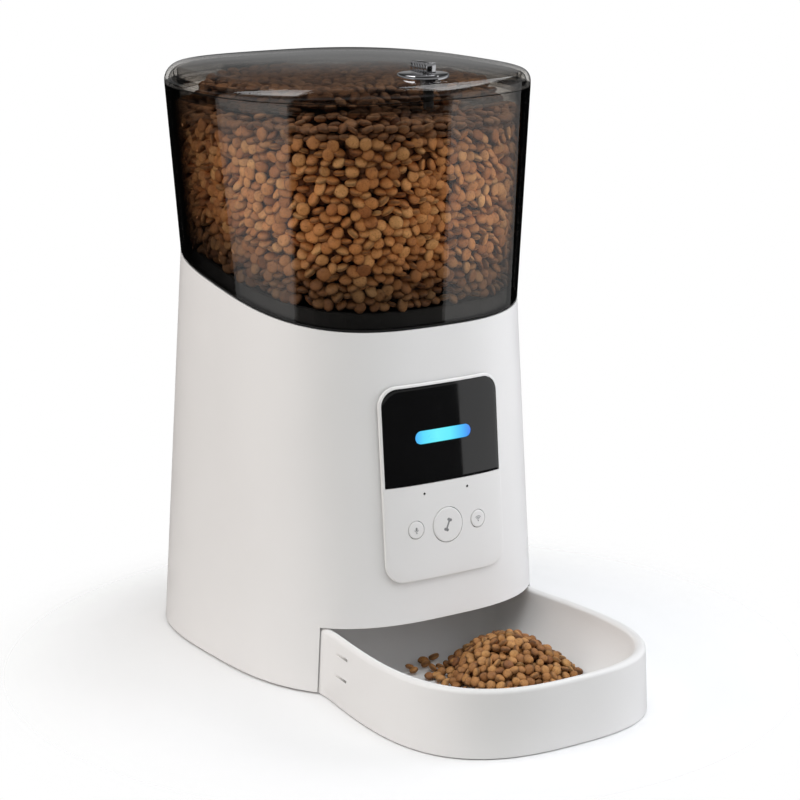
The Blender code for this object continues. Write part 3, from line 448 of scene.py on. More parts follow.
def on_front(outline, proud):
    """Outline in x and z, laid proud metres outside the housing's front."""
    x, z = np.array(outline).T
    return np.column_stack([x, front_y(x, z, proud), z])


# ---- meshes ----
def mesh_object(name, points, faces):
    mesh = bpy.data.meshes.new(name)
    mesh.from_pydata([tuple(map(float, p)) for p in points], [], faces)
    mesh.update()
    item = bpy.data.objects.new(name, mesh)
    COLLECTION.objects.link(item)
    return item


def sides(low, high, count):
    """Faces between two rings of count points, which start at low and at high."""
    return [(low + i, low + (i + 1) % count, high + (i + 1) % count, high + i) for i in range(count)]


def loft(name, rings, closed=False, cap=(False, False)):
    """Skin equal rings, counter-clockwise from above and listed upwards along the outside."""
    count, total = len(rings[0]), len(rings)
    faces = []
    for k in range(total if closed else total - 1):
        faces += sides(k * count, (k + 1) % total * count, count)
    if cap[0]:
        faces.append(tuple(range(count))[::-1])
    if cap[1]:
        faces.append(tuple(range((total - 1) * count, total * count)))
    return mesh_object(name, np.concatenate(rings), faces)


def prism(name, outline, depths):
    """Prism through the front: outline in x and z, from one y to another."""
    rings = [np.array([(x, y, z) for x, z in outline]) for y in depths]
    return fix_normals(loft(name, rings, cap=(True, True)))


def column(name, outline, low, high):
    """Upright column: outline in x and y, from one height to another."""
    return loft(name, [np.array([(x, y, low) for x, y in outline]),
                       np.array([(x, y, high) for x, y in outline])], cap=(True, True))


def fix_normals(item):
    bm = bmesh.new()
    bm.from_mesh(item.data)
    bmesh.ops.recalc_face_normals(bm, faces=bm.faces)
    bm.to_mesh(item.data)
    bm.free()
    return item


def box(name, size, centre):
    x, y, z = (s / 2 for s in size)
    item = column(name, [(-x, -y), (x, -y), (x, y), (-x, y)], -z, z)
    item.data.transform(Matrix.Translation(centre))
    return item


def rod(name, radius, length, centre, axis="Z", segments=48):
    item = column(name, circle(radius, 0, 0, segments), -length / 2, length / 2)
    turn = {"X": Matrix.Rotation(PI / 2, 4, "Y"), "Y": Matrix.Rotation(PI / 2, 4, "X"),
            "Z": Matrix.Identity(4)}
    item.data.transform(Matrix.Translation(centre) @ turn[axis])
    return item


def turned(name, profile, centre, segments):
    """Turn (radius, height) points, listed bottom to top along the outside, about a vertical axis."""
    angles = np.arange(segments) * 2 * PI / segments
    item = loft(name, [np.column_stack([r * np.cos(angles), r * np.sin(angles), np.full(segments, h)])
                       for r, h in profile], cap=(True, True))
    item.data.transform(Matrix.Translation(centre))
    return item


def arc(cx, cy, radius, start, end, count):
    return [(cx + radius * cos(start + (end - start) * i / count),
             cy + radius * sin(start + (end - start) * i / count)) for i in range(count + 1)]


def circle(radius, cx=0.0, cy=0.0, count=64):
    return arc(cx, cy, radius, 0, 2 * PI, count)[:-1]


def rounded(x0, y0, x1, y1, radius, lower=None, steps=14):
    """Rectangle with rounded corners, whose two lower ones may have their own radius."""
    low = radius if lower is None else lower
    return (arc(x0 + low, y0 + low, low, PI, 1.5 * PI, steps)
            + arc(x1 - low, y0 + low, low, -0.5 * PI, 0, steps)
            + arc(x1 - radius, y1 - radius, radius, 0, 0.5 * PI, steps)
            + arc(x0 + radius, y1 - radius, radius, 0.5 * PI, PI, steps))


def resample(outline, step):
    """Points along a closed outline, no further apart than step."""
    out = []
    for (x0, y0), (x1, y1) in zip(outline, outline[1:] + outline[:1]):
        pieces = max(1, ceil(hypot(x1 - x0, y1 - y0) / step))
        out += [(x0 + (x1 - x0) * k / pieces, y0 + (y1 - y0) * k / pieces) for k in range(pieces)]
    return [p for i, p in enumerate(out) if dist(p, out[i - 1]) > 1e-6]


def inset_outline(outline, amount):
    """Move a smooth closed counter-clockwise outline inwards."""
    points = np.array(outline)
    tangent = np.roll(points, -1, axis=0) - np.roll(points, 1, axis=0)
    tangent /= np.linalg.norm(tangent, axis=1)[:, None]
    return points + np.column_stack([-tangent[:, 1], tangent[:, 0]]) * amount


def cut(item, tool, operation="DIFFERENCE"):
    change = item.modifiers.new("cut", "BOOLEAN")
    change.operation = operation
    change.solver = "EXACT"
    change.object = tool
    if tool not in CUTTERS:
        CUTTERS.append(tool)


def solidify(item, thickness):
    change = item.modifiers.new("wall", "SOLIDIFY")
    change.thickness = thickness
    change.offset = -1.0
    change.use_even_offset = True
    return item


def finish(item, body, slot=None, nodes=(), look=None, angle=35.0):
    """Apply the modifiers, shade, shift into the frame and hang the piece on its body."""
    if item.modifiers:
        graph = bpy.context.evaluated_depsgraph_get()
        mesh = bpy.data.meshes.new_from_object(item.evaluated_get(graph))
        item.modifiers.clear()
        item.data = mesh
        for tool in CUTTERS:
            bpy.data.objects.remove(tool, do_unlink=True)
        CUTTERS.clear()
    item.data.name = item.name
    item.data.transform(Matrix.Translation((0.0, BODY_Y, 0.0)))
    item.data.shade_smooth()
    item.data.set_sharp_from_angle(angle=radians(angle))
    item.data.materials.clear()
    item.data.materials.append(look or LOOKS[slot])
    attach(item, body)
    if nodes:
        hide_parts(*nodes)


# ---- housing ----
def housing():
    parts = (0.006, 0.1, 0.25, 0.5, 0.75, 0.996)
    shell = solidify(loft("housing_body", [between(BASE, WAIST, part) for part in parts]), WALL)
    low = BOWL_HALF_WIDTH + 0.9 * MM
    high = low - BOWL_LEAN * 1.02
    front, rear = -130 * MM, -45 * MM
    rings = [np.array([(-half, front, z), (half, front, z), (half, rear, z), (-half, rear, z)])
             for half, z in ((low + 0.2 * MM, -2 * MM), (high, ARCH_HEIGHT))]
    cut(shell, loft("arch_tool", rings, cap=(True, True)))
    window = rounded(-36 * MM, 70 * MM, 36 * MM, 172 * MM, 6 * MM)
    cut(shell, prism("window_tool", window, (-115 * MM, -85 * MM)))
    cut(shell, rod("inlet_tool", 6.3 * MM, 20 * MM, (60 * MM, 110 * MM, 22 * MM), "Y"))
    for row in range(3):
        for col in range(4):
            centre = (-53.5 * MM + col * GRILLE_PITCH, 104 * MM, 62 * MM + row * GRILLE_PITCH)
            cut(shell, rod("grille_tool", 1.3 * MM, 30 * MM, centre, "Y", 20))
    finish(shell, "housing", "white_abs", ["housing_shell"])


# ---- hopper and lid ----
def bore_hinge(item):
    cut(item, rod("hinge_bore", PIN_BORE, 60 * MM, (0.0, HINGE_Y, HINGE_Z), "X", 32))


def knuckle(item, name, x0, x1, web_low, web_high):
    """Barrel round the hinge pin, with a web to the wall in front of it."""
    middle = (x0 + x1) / 2
    cut(item, rod(name + "_barrel", KNUCKLE_RADIUS, x1 - x0, (middle, HINGE_Y, HINGE_Z), "X", 40), "UNION")
    front = RIM[1] - 2.1 * MM
    cut(item, box(name + "_web", (x1 - x0, HINGE_Y - front, web_high - web_low),
                  (middle, (HINGE_Y + front) / 2, (web_low + web_high) / 2)), "UNION")


def hopper():
    parts = (0.006, 0.2, 0.4, 0.6, 0.8, 1.0)
    tank = solidify(loft("hopper_wall", [between(WAIST, RIM, part) for part in parts]), WALL)
    knuckle(tank, "left_knuckle", -22 * MM, -9 * MM, HINGE_Z - 3.2 * MM, HINGE_Z - 0.2 * MM)
    knuckle(tank, "right_knuckle", 9 * MM, 22 * MM, HINGE_Z - 3.2 * MM, HINGE_Z - 0.2 * MM)
    bore_hinge(tank)
    finish(tank, "housing", "smoky_plastic", ["hopper_tank"])


def lid_rings(grow=0.0, below=0.0):
    """Rings up the lid's outside: its rim, rounded edge and domed top."""
    steps = 12
    rings = [section(RIM, -grow, 0.35 * MM - below), section(RIM, -grow, 1.8 * MM)]
    low, edge = rings[-1], section(LID_EDGE, -grow)
    for step in range(1, steps + 1):
        angle = step * PI / 2 / steps
        ring = low + (edge - low) * (1 - cos(angle))
        ring[:, 2] = low[:, 2] + (edge[:, 2] + grow - low[:, 2]) * sin(angle)
        rings.append(ring)
    top = rings[-1]
    for share in (0.92, 0.8, 0.65, 0.5, 0.35, 0.2, 0.06):
        dome = top[:, 2] + LID_RISE * (1 - share ** 2)
        rings.append(np.column_stack([top[:, 0] * share, top[:, 1] * share, dome]))
    return rings


def lid():
    cover = solidify(loft("lid_cover", lid_rings(), cap=(False, True)), LID_WALL)
    skirt = loft("lid_skirt", [section(RIM, inset * MM, lift * MM) for inset, lift in
                               ((5.2, -7.0), (5.2, 7.6), (7.2, 7.6), (7.2, -7.0))], closed=True)
    cut(cover, skirt, "UNION")
    knuckle(cover, "lid_knuckle", -8.7 * MM, 8.7 * MM, HINGE_Z + 0.6 * MM, HINGE_Z + 3.0 * MM)
    bore_hinge(cover)
    cut(cover, box("latch_notch", (26 * MM, 14 * MM, 12 * MM), (0.0, -RIM[1] + 7.3 * MM, RIM[4] - 6.6 * MM)))
    cut(cover, rod("knob_hole", 7.3 * MM, 30 * MM, (0.0, KNOB_Y, KNOB_Z)))
    finish(cover, "lid_body", "smoky_plastic", ["lid"], SMOKY_LID)


# ---- control panel ----
def curved_plate(name, outline, proud, back, edge=0.8 * MM, steps=4, shares=12, undercut=0.0):
    """Plate on the housing's front with a rounded edge: outline in x and z, counter-clockwise."""
    centre = np.mean(np.array(outline), axis=0)
    foot = back + 0.8 * MM
    levels = [(undercut, back), (undercut, foot), (0.0, foot)] if undercut else [(0.0, back)]
    levels.append((0.0, proud - edge))
    for step in range(1, steps + 1):
        angle = step * PI / 2 / steps
        levels.append((edge * (1 - cos(angle)), proud - edge * (1 - sin(angle))))

    def inwards(ring, height):
        return [(centre + (ring - centre) * (1 - k / shares), height) for k in range(1, shares)]

    rings = [(inset_outline(outline, inset), height) for inset, height in levels]
    rings = inwards(rings[0][0], back)[::-1] + rings + inwards(rings[-1][0], proud)
    return fix_normals(loft(name, [on_front(*ring) for ring in rings], cap=(True, True)))


def pill(radius):
    half = LED_HALF_LENGTH - LED_RADIUS
    return (arc(half, LED_HEIGHT, radius, -PI / 2, PI / 2, 20)
            + arc(-half, LED_HEIGHT, radius, PI / 2, 1.5 * PI, 20))


def control_panel():
    outline = rounded(-PANEL_HALF_WIDTH, PANEL_BOTTOM, PANEL_HALF_WIDTH, PANEL_TOP, PANEL_CORNER)
    bezel = curved_plate("panel_plate", resample(outline, 3 * MM), PANEL_PROUD, GAP, 0.9 * MM,
                         undercut=1.8 * MM)
    reach, top = PANEL_HALF_WIDTH - SCREEN_BORDER, PANEL_TOP - SCREEN_BORDER
    corner = PANEL_CORNER - SCREEN_BORDER
    screen = rounded(-reach, SCREEN_BOTTOM, reach, top, corner, 0.5 * MM)
    cut(bezel, prism("screen_tool", screen, PANEL_TOOL_Y))
    for x, radius in ((-BUTTON_SPACING, SIDE_RADIUS), (0.0, FEED_RADIUS), (BUTTON_SPACING, SIDE_RADIUS)):
        cut(bezel, prism("button_tool", circle(radius + 0.35 * MM, x, BUTTON_HEIGHT), PANEL_TOOL_Y))
    for side in (-1, 1):
        hole = circle(0.8 * MM, side * PINHOLE_SPACING, PINHOLE_HEIGHT, 20)
        cut(bezel, prism("pin_tool", hole, PANEL_TOOL_Y))
    finish(bezel, "housing", "white_abs", ["panel_bezel"], angle=30)
    for side, label in ((-1, "left"), (1, "right")):
        x = side * PINHOLE_SPACING
        y = float(front_y(x, PINHOLE_HEIGHT, PANEL_PROUD - 0.8 * MM))
        port = rod("sound_port_" + label, 0.78 * MM, MM, (x, y, PINHOLE_HEIGHT), "Y", 24)
        finish(port, "housing", "black_plastic")

    slit = 0.25 * MM
    glass = rounded(-reach + slit, SCREEN_BOTTOM + slit, reach - slit, top - slit, corner - 0.2 * MM,
                    0.5 * MM)
    window = curved_plate("screen_glass", resample(glass, 3 * MM), PANEL_PROUD - 0.1 * MM, GAP,
                          0.15 * MM, 2, 16)
    cut(window, prism("led_tool", pill(LED_RADIUS + 0.2 * MM), PANEL_TOOL_Y))
    finish(window, "housing", "gloss_black", ["display_window"], angle=30)
    light = resample(pill(LED_RADIUS), 2 * MM)
    led = curved_plate("led_light_bar", light, PANEL_PROUD, GAP, 0.25 * MM, 2, 6)
    finish(led, "housing", "led_glow", ["led_bar"])


def button(name, x, radius):
    cap = curved_plate(name + "_cap", circle(radius, x, BUTTON_HEIGHT), PANEL_PROUD + 0.35 * MM, 0.6 * MM,
                       0.55 * MM, 4, 6)
    cut(cap, rod(name + "_stem", 1.8 * MM, 10.6 * MM, (x, -101.3 * MM, BUTTON_HEIGHT), "Y", 24), "UNION")
    finish(cap, name + "_body", "white_abs", [name])


def icon(name, body, x, outlines, turn=0.0):
    """Printed mark: flat shapes in x and z about a button's centre, laid on its curved face."""
    lift, sink = PANEL_PROUD + 0.37 * MM, PANEL_PROUD + 0.30 * MM
    points, faces = [], []
    c, s = cos(turn), sin(turn)
    for outline in outlines:
        ring = [(x + (u * c - v * s) * MM, BUTTON_HEIGHT + (u * s + v * c) * MM) for u, v in outline]
        start, middle = len(points), len(points) + len(ring)
        points += [*on_front(ring, sink), *on_front(ring, lift)]
        faces += sides(start, middle, len(ring))
        faces += [tuple(range(start, middle))[::-1], tuple(range(middle, len(points)))]
    finish(fix_normals(mesh_object(name, points, faces)), body, "white_abs", look=INK)


def band(cx, cy, radius, width, start, end):
    return (arc(cx, cy, radius + width / 2, start, end, 14)
            + arc(cx, cy, radius - width / 2, end, start, 14))


def bar(half_width, low, high):
    return [(-half_width, low), (half_width, low), (half_width, high), (-half_width, high)]


def bone_outline():
    """Dog bone along v: a bar with two knobs at each end."""
    half, knob, offset, waist = 3.0, 0.95, 0.72, 0.55
    right = arc(offset, half, knob, -0.9, PI * 0.72, 10) + arc(-offset, half, knob, PI * 0.28, PI + 0.9, 10)
    left = [(-u, -v) for u, v in right]
    neck = half - knob * 0.9
    return [(waist, -neck), (waist, neck)] + right + [(-waist, neck), (-waist, -neck)] + left


def buttons():
    button("feed_button", 0.0, FEED_RADIUS)
    button("mic_button", -BUTTON_SPACING, SIDE_RADIUS)
    button("wifi_button", BUTTON_SPACING, SIDE_RADIUS)
    icon("feed_icon", "feed_button_body", 0.0, [bone_outline()], turn=-0.42)
    mic = [arc(0, 0.9, 0.62, 0, PI, 10) + arc(0, 0.0, 0.62, PI, 2 * PI, 10),
           band(0, 0.1, 1.15, 0.32, PI, 2 * PI), bar(0.16, -1.9, -1.15), bar(0.7, -2.1, -1.85)]
    icon("mic_icon", "mic_button_body", -BUTTON_SPACING, mic)
    waves = [band(0, -1.3, radius, 0.42, PI * 0.27, PI * 0.73) for radius in (1.1, 1.95, 2.8)]
    icon("wifi_icon", "wifi_button_body", BUTTON_SPACING, [circle(0.42, 0, -1.3, 16)] + waves)


# ---- lock knob ----
def lock_knob():
    plate = turned("knob_disc", [(PLATE_RADIUS, -4 * MM), (PLATE_RADIUS, 3.0 * MM), (14.6 * MM, 3.55 * MM),
                                 (14.1 * MM, 3.9 * MM), (13.4 * MM, 4.0 * MM)],
                   (0.0, KNOB_Y + PLATE_SHIFT, KNOB_Z), 96)
    dome = loft("plate_seat", lid_rings(GAP, 6 * MM), cap=(True, True))
    cut(plate, dome)
    cut(plate, rod("plate_collar", 7 * MM, 6 * MM, (0.0, KNOB_Y, KNOB_Z - 0.4 * MM)), "UNION")
    cut(plate, rod("plate_bore", 3.4 * MM, 40 * MM, (0.0, KNOB_Y, KNOB_Z)))
    finish(plate, "lid_body", "chrome", ["knob_plate"])

    outline = rounded(-3.2 * MM, -3.4 * MM, 3.2 * MM, 14.2 * MM, 1.0 * MM, steps=4)
    grip = column("knob_grip", [(x, y + KNOB_Y) for x, y in outline], KNOB_Z + 4.3 * MM, KNOB_TOP)
    for side in (-1, 1):
        for number in range(5):
            centre = (side * 3.35 * MM, KNOB_Y + 0.2 * MM + number * RIB_PITCH, 358 * MM)
            cut(grip, rod("rib_tool", 0.55 * MM, 20 * MM, centre, segments=16))
    soften = grip.modifiers.new("soften", "BEVEL")
    soften.width = 0.35 * MM
    soften.segments = 3
    soften.limit_method = "ANGLE"
    soften.angle_limit = radians(40)
    soften.use_clamp_overlap = True
    finish(grip, "knob_body", "chrome", ["lock_knob"])
    stem_low, stem_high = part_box("lock_knob")[0].z, KNOB_TOP - 3 * MM
    stem = rod("knob_stem", 3.0 * MM, stem_high - stem_low, (0.0, KNOB_Y, (stem_low + stem_high) / 2))
    finish(stem, "knob_body", "black_plastic")


# ---- bowl ----
def bowl():
    half_rim = BOWL_RIM / 2
    rings = [bowl_ring(0.6 * MM, 0.4 * MM), bowl_ring(0.1 * MM, 0.75 * MM), bowl_ring(0.0, 1.4 * MM),
             bowl_ring(0.0, BOWL_HEIGHT * 0.5), bowl_ring(0.0, BOWL_HEIGHT - half_rim)]
    for step in range(1, 13):
        angle = step * PI / 12
        rings.append(bowl_ring(half_rim * (1 - cos(angle)),
                               BOWL_HEIGHT - half_rim * (1 - sin(angle))))
    depth = BOWL_HEIGHT - half_rim - 5.5 * MM
    for step in range(1, 17):
        angle = step * PI / 32
        rings.append(bowl_ring(BOWL_RIM + 30 * MM * (1 - cos(angle)) ** 0.9 + 2 * MM * sin(angle),
                               BOWL_HEIGHT - half_rim - depth * sin(angle)))
    tray = solidify(loft("bowl_dish", rings, cap=(False, True)), BOWL_SHEET)
    for side in (-1, 1):
        for z in (17.9 * MM, 30.6 * MM):
            x = side * (BOWL_HALF_WIDTH * 1.0277 - BOWL_LEAN * z / BOWL_HEIGHT + 0.2 * MM)
            groove = box("groove_tool", (3.9 * MM, 20 * MM, 1.7 * MM), (0.0, 0.0, 0.0))
            lean = Matrix.Rotation(-side * 0.124, 4, "Z")
            groove.data.transform(Matrix.Translation((x, -112 * MM, z)) @ lean)
            cut(tray, groove)
    finish(tray, "bowl_body", "white_abs", ["bowl_tray"])


# ---- kibble ----
def lentil(segments, rows):
    """Unit disc with a rounded edge: points and faces."""
    points, faces = [(0.0, 0.0, -1.0)], []
    turns = [2 * PI * i / segments for i in range(segments)]
    for row in range(1, rows):
        lift = -PI / 2 + PI * row / rows
        reach = cos(lift) ** 0.72
        points += [(reach * cos(turn), reach * sin(turn), sin(lift)) for turn in turns]
    points.append((0.0, 0.0, 1.0))
    last = len(points) - 1
    for i in range(segments):
        j = (i + 1) % segments
        faces.append((0, 1 + j, 1 + i))
        for row in range(rows - 2):
            a = 1 + row * segments
            faces.append((a + i, a + j, a + segments + j, a + segments + i))
        top = 1 + (rows - 2) * segments
        faces.append((top + i, top + j, last))
    return np.array(points), faces


def unit_rows(vectors):
    return vectors / np.linalg.norm(vectors, axis=1)[:, None]


def kibble_batch(name, centres, normals, painted_shades, radius, flatness, segments, rows, body, look, rng):
    """One mesh of many pieces, each a slightly oval, bent and lumpy disc with painted shade round its rim."""
    unit, faces = lentil(segments, rows)
    count = len(centres)
    size = radius * rng.uniform(0.88, 1.10, count)
    flat = size * flatness * rng.uniform(0.85, 1.2, count)
    oval = rng.uniform(0.91, 1.07, count)
    local = unit[None] * np.stack([size * oval, size / oval, flat], 1)[:, None]
    angle, reach = np.arctan2(unit[:, 1], unit[:, 0]), np.hypot(unit[:, 0], unit[:, 1])
    waves, phase = rng.integers(2, 5, count)[:, None], rng.uniform(0, 2 * PI, count)[:, None]
    lump = rng.uniform(0.01, 0.05, count)[:, None]
    local *= (1 + lump * np.sin(waves * angle + phase) * reach)[..., None]
    local[..., 2] += (rng.uniform(-0.14, 0.14, count) * size)[:, None] * unit[:, 0] ** 2
    east = unit_rows(np.cross(rng.normal(size=(count, 3)), normals))
    axes = np.stack([east, np.cross(normals, east), normals], 1)
    points = np.einsum("nui,nij->nuj", local, axes) + centres[:, None]
    polygons = [tuple(start + i for i in face)
                for start in range(0, count * len(unit), len(unit)) for face in faces]
    item = mesh_object(name, points.reshape(-1, 3), polygons)
    shades = np.repeat(np.clip(rng.normal(0.5, 0.24, count), 0.0, 1.0), len(unit))
    # Painted shade: each piece darkens towards its rim.
    painted_shades = (painted_shades[:, None] * (1 - PIECE_RIM_PAINTED_SHADE * reach ** 9)).ravel()
    for label, values in (("shade", shades), ("tone", painted_shades)):
        item.data.attributes.new(label, "FLOAT", "POINT").data.foreach_set("value", values.astype(np.float32))
    finish(item, body, look=look, angle=80)


def push_apart(points, spacing, rounds, hold):
    """Move points that are closer than spacing apart; hold puts them back inside their limits."""
    for _ in range(rounds):
        tree = kdtree.KDTree(len(points))
        for i, point in enumerate(points):
            tree.insert(point, i)
        tree.balance()
        pairs = np.array([(i, j) for i, point in enumerate(points)
                          for _, j, _ in tree.find_range(point, spacing) if j > i])
        gap = points[pairs[:, 0]] - points[pairs[:, 1]]
        distance = np.maximum(np.linalg.norm(gap, axis=1), 1e-6)
        push = gap * ((spacing - distance) / distance * 0.32)[:, None]
        np.add.at(points, pairs[:, 0], push)
        np.add.at(points, pairs[:, 1], -push)
        points = hold(points)
    return points


def tipped(normals, spread, rng):
    """Normals pushed off by random amounts."""
    return unit_rows(normals + rng.normal(size=normals.shape) * spread)


def waist_height(y):
    return WAIST[4] + WAIST[5] * y


def tank_table():
    """The tank's inner radius by share of height and by polar angle."""
    rows = []
    for part in np.linspace(0.0, 1.0, 25):
        ring = between(WAIST, RIM, part, WALL)
        polar = np.arctan2(ring[:, 1], ring[:, 0])
        rows.append(np.interp(POLAR, polar, np.hypot(ring[:, 0], ring[:, 1]), period=2 * PI))
    return np.array(rows)


POLAR = np.linspace(-PI, PI, 721)
TANK_RADIUS = tank_table()


def inside_tank(points, room):
    """Points pulled towards the tank's axis until they clear its inner wall by room."""
    foot = waist_height(points[:, 1])
    row = np.clip((points[:, 2] - foot) / (RIM[4] - foot), 0.0, 1.0) * (len(TANK_RADIUS) - 1)
    low = np.minimum(row.astype(int), len(TANK_RADIUS) - 2)
    column_at = (np.arctan2(points[:, 1], points[:, 0]) + PI) / (2 * PI) * (len(POLAR) - 1)
    left = np.minimum(column_at.astype(int), len(POLAR) - 2)
    up, across = row - low, column_at - left
    wall = ((TANK_RADIUS[low, left] * (1 - across) + TANK_RADIUS[low, left + 1] * across) * (1 - up)
            + (TANK_RADIUS[low + 1, left] * (1 - across) + TANK_RADIUS[low + 1, left + 1] * across) * up)
    shrink = np.minimum(1.0, (wall - room) / np.hypot(points[:, 0], points[:, 1]))
    return points * np.column_stack([shrink, shrink, np.ones(len(points))])


def fill_height(x, y):
    """Top of the food in the hopper: a low heap under the lid, hollow round the lock."""
    share = (np.abs(x) / (HEAP_WIDTH * RIM[0])) ** RIM[2] + (np.abs(y) / RIM[1]) ** RIM[2]
    swell = 1.0 * MM * np.sin(x * 38 + 1.0) * np.cos(y * 31) + 0.6 * MM * np.sin(x * 90 - y * 70)
    climb = np.clip((HEAP_SHARE - share) / HEAP_SLOPE, 0.0, 1.0)
    heap = FILL_EDGE + (FILL_MIDDLE - FILL_EDGE) * climb + swell
    from_lock = np.maximum(0.0, np.hypot(x, y - KNOB_Y) - LOCK_CLEARANCE)
    return np.minimum(heap, FILL_LOCK + LOCK_SLOPE * from_lock)


def wall_layer(depth, pitch, rng):
    """Seeds for one layer behind the tank's wall: centres and normals."""
    around = int(620 * MM / pitch)
    levels = int(100 * MM / (pitch * ROW_STEP))
    turn, level = np.meshgrid(np.arange(around), np.arange(levels))
    turn = (turn + 0.5 * (level % 2) + rng.uniform(-0.35, 0.35, turn.shape)).ravel()
    angles = np.interp(turn % around, np.arange(around + 1), np.append(waist_angles(around), 2 * PI))
    ring = section(WAIST, WALL + depth, 0.0, angles)
    rise = ((level + rng.uniform(-0.4, 0.4, level.shape)) * pitch * ROW_STEP).ravel()
    rim = section(RIM, WALL + depth, 0.0, angles)
    part = (LEDGE + 0.9 * depth + rise) / (rim[:, 2] - ring[:, 2])
    centres = ring * (1 - part)[:, None] + rim * part[:, None]
    outward = unit_rows(np.column_stack([centres[:, 0], centres[:, 1], np.zeros(len(centres))]))
    lying = rng.uniform(0.0, 1.0, len(centres))[:, None]
    normals = tipped(unit_rows(outward * lying + np.array([0.0, 0.0, 1.0]) * (1 - lying)), 0.30, rng)
    keep = centres[:, 2] < fill_height(centres[:, 0], centres[:, 1]) - 2 * MM
    return centres[keep], normals[keep]


def hopper_kibble():
    """Food in the hopper: three layers behind the wall, two over the heap and a plain core within, darkened
    by painted shade.

    Batches are name, depth behind the wall, pitch, segments and rows of a piece, and look.
    """
    rng = np.random.default_rng(11)
    # The second and third layers take the darker copy of the kibble, as painted shade.
    batches = [("food_wall", 0.0, 6.3 * MM, 12, 7, KIBBLE),
               ("food_second", 4.4 * MM, 6.7 * MM, 10, 5, KIBBLE_PAINTED_SHADE),
               ("food_third", 9.2 * MM, 7.4 * MM, 10, 5, KIBBLE_PAINTED_SHADE)]
    layers = [wall_layer(depth, pitch, rng) for _, depth, pitch, _, _, _ in batches]
    column_x, row_y, level = np.meshgrid(np.arange(-17, 18), np.arange(-19, 20), np.arange(2))
    x = ((column_x + 0.5 * (row_y % 2) + rng.uniform(-0.3, 0.3, column_x.shape)) * TOP_PITCH).ravel()
    y = ((row_y * ROW_STEP + rng.uniform(-0.3, 0.3, row_y.shape)) * TOP_PITCH).ravel()
    keep = (np.abs(x) / (98 * MM)) ** 2.6 + (np.abs(y) / (100 * MM)) ** 2.6 < 1
    x, y, level = x[keep], y[keep], level.ravel()[keep]
    z = fill_height(x, y) - level * 4.0 * MM + rng.uniform(-0.9, 0.9, len(x)) * MM
    up = np.tile([0.0, 0.0, 1.0], (len(x), 1))
    layers.append((np.column_stack([x, y, z]), tipped(up, 0.28, rng)))
    # The pieces over the heap take the darker copy of the kibble, as painted shade under the lid.
    batches.append(("food_top", 0.0, 0.0, 10, 5, KIBBLE_TOP))

    sizes = [len(seeds) for seeds, _ in layers]
    centres = np.concatenate([c for c, _ in layers])
    normals = np.concatenate([n for _, n in layers])
    depths = np.concatenate([np.full(size, batch[1]) for size, batch in zip(sizes, batches)])
    outward = unit_rows(centres * (1, 1, 0))
    facing = np.abs((normals * outward).sum(1))
    room = KIBBLE_RADIUS * 1.16 * np.sqrt((KIBBLE_FLAT * facing) ** 2 + 1 - facing ** 2) + 0.3 * MM + depths

    def hold(points):
        points = inside_tank(points, room)
        floor = waist_height(points[:, 1]) + LEDGE + 0.9 * depths
        points[:, 2] = np.clip(points[:, 2], floor, fill_height(points[:, 0], points[:, 1]) + 0.8 * MM)
        return points

    centres = push_apart(hold(centres), KIBBLE_SPACING, 7, hold)
    # Painted shade: pieces darken towards the heap's foot, and a painted shadow of the lid darkens them near
    # the rim.
    rise = np.clip((centres[:, 2] - waist_height(centres[:, 1]) - LEDGE) / FOOT_PAINTED_SHADE, 0.0, 1.0)
    painted_shades = 0.25 + 0.75 * rise * rise * (3 - 2 * rise)
    painted_shades *= 1 - 0.38 * np.clip((centres[:, 2] - LID_PAINTED_SHADOW_START) / LID_PAINTED_SHADOW_DEPTH, 0.0, 1.0)
    for end, size, (name, _, _, segments, rows, look) in zip(np.cumsum(sizes), sizes, batches):
        span = slice(end - size, end)
        kibble_batch(name, centres[span], normals[span], painted_shades[span], KIBBLE_RADIUS, KIBBLE_FLAT,
                     segments, rows, "housing", look, rng)
    # A plain core standing for the food within, coloured as painted shade, shows dark in the gaps between the
    # pieces.
    core = [between(WAIST, RIM, part, WALL + CORE_DEPTH) for part in (0.17, 0.35, 0.55, 0.72, 0.82)]
    finish(loft("food_core", core, cap=(True, True)), "housing", look=CORE_PAINTED_SHADE)


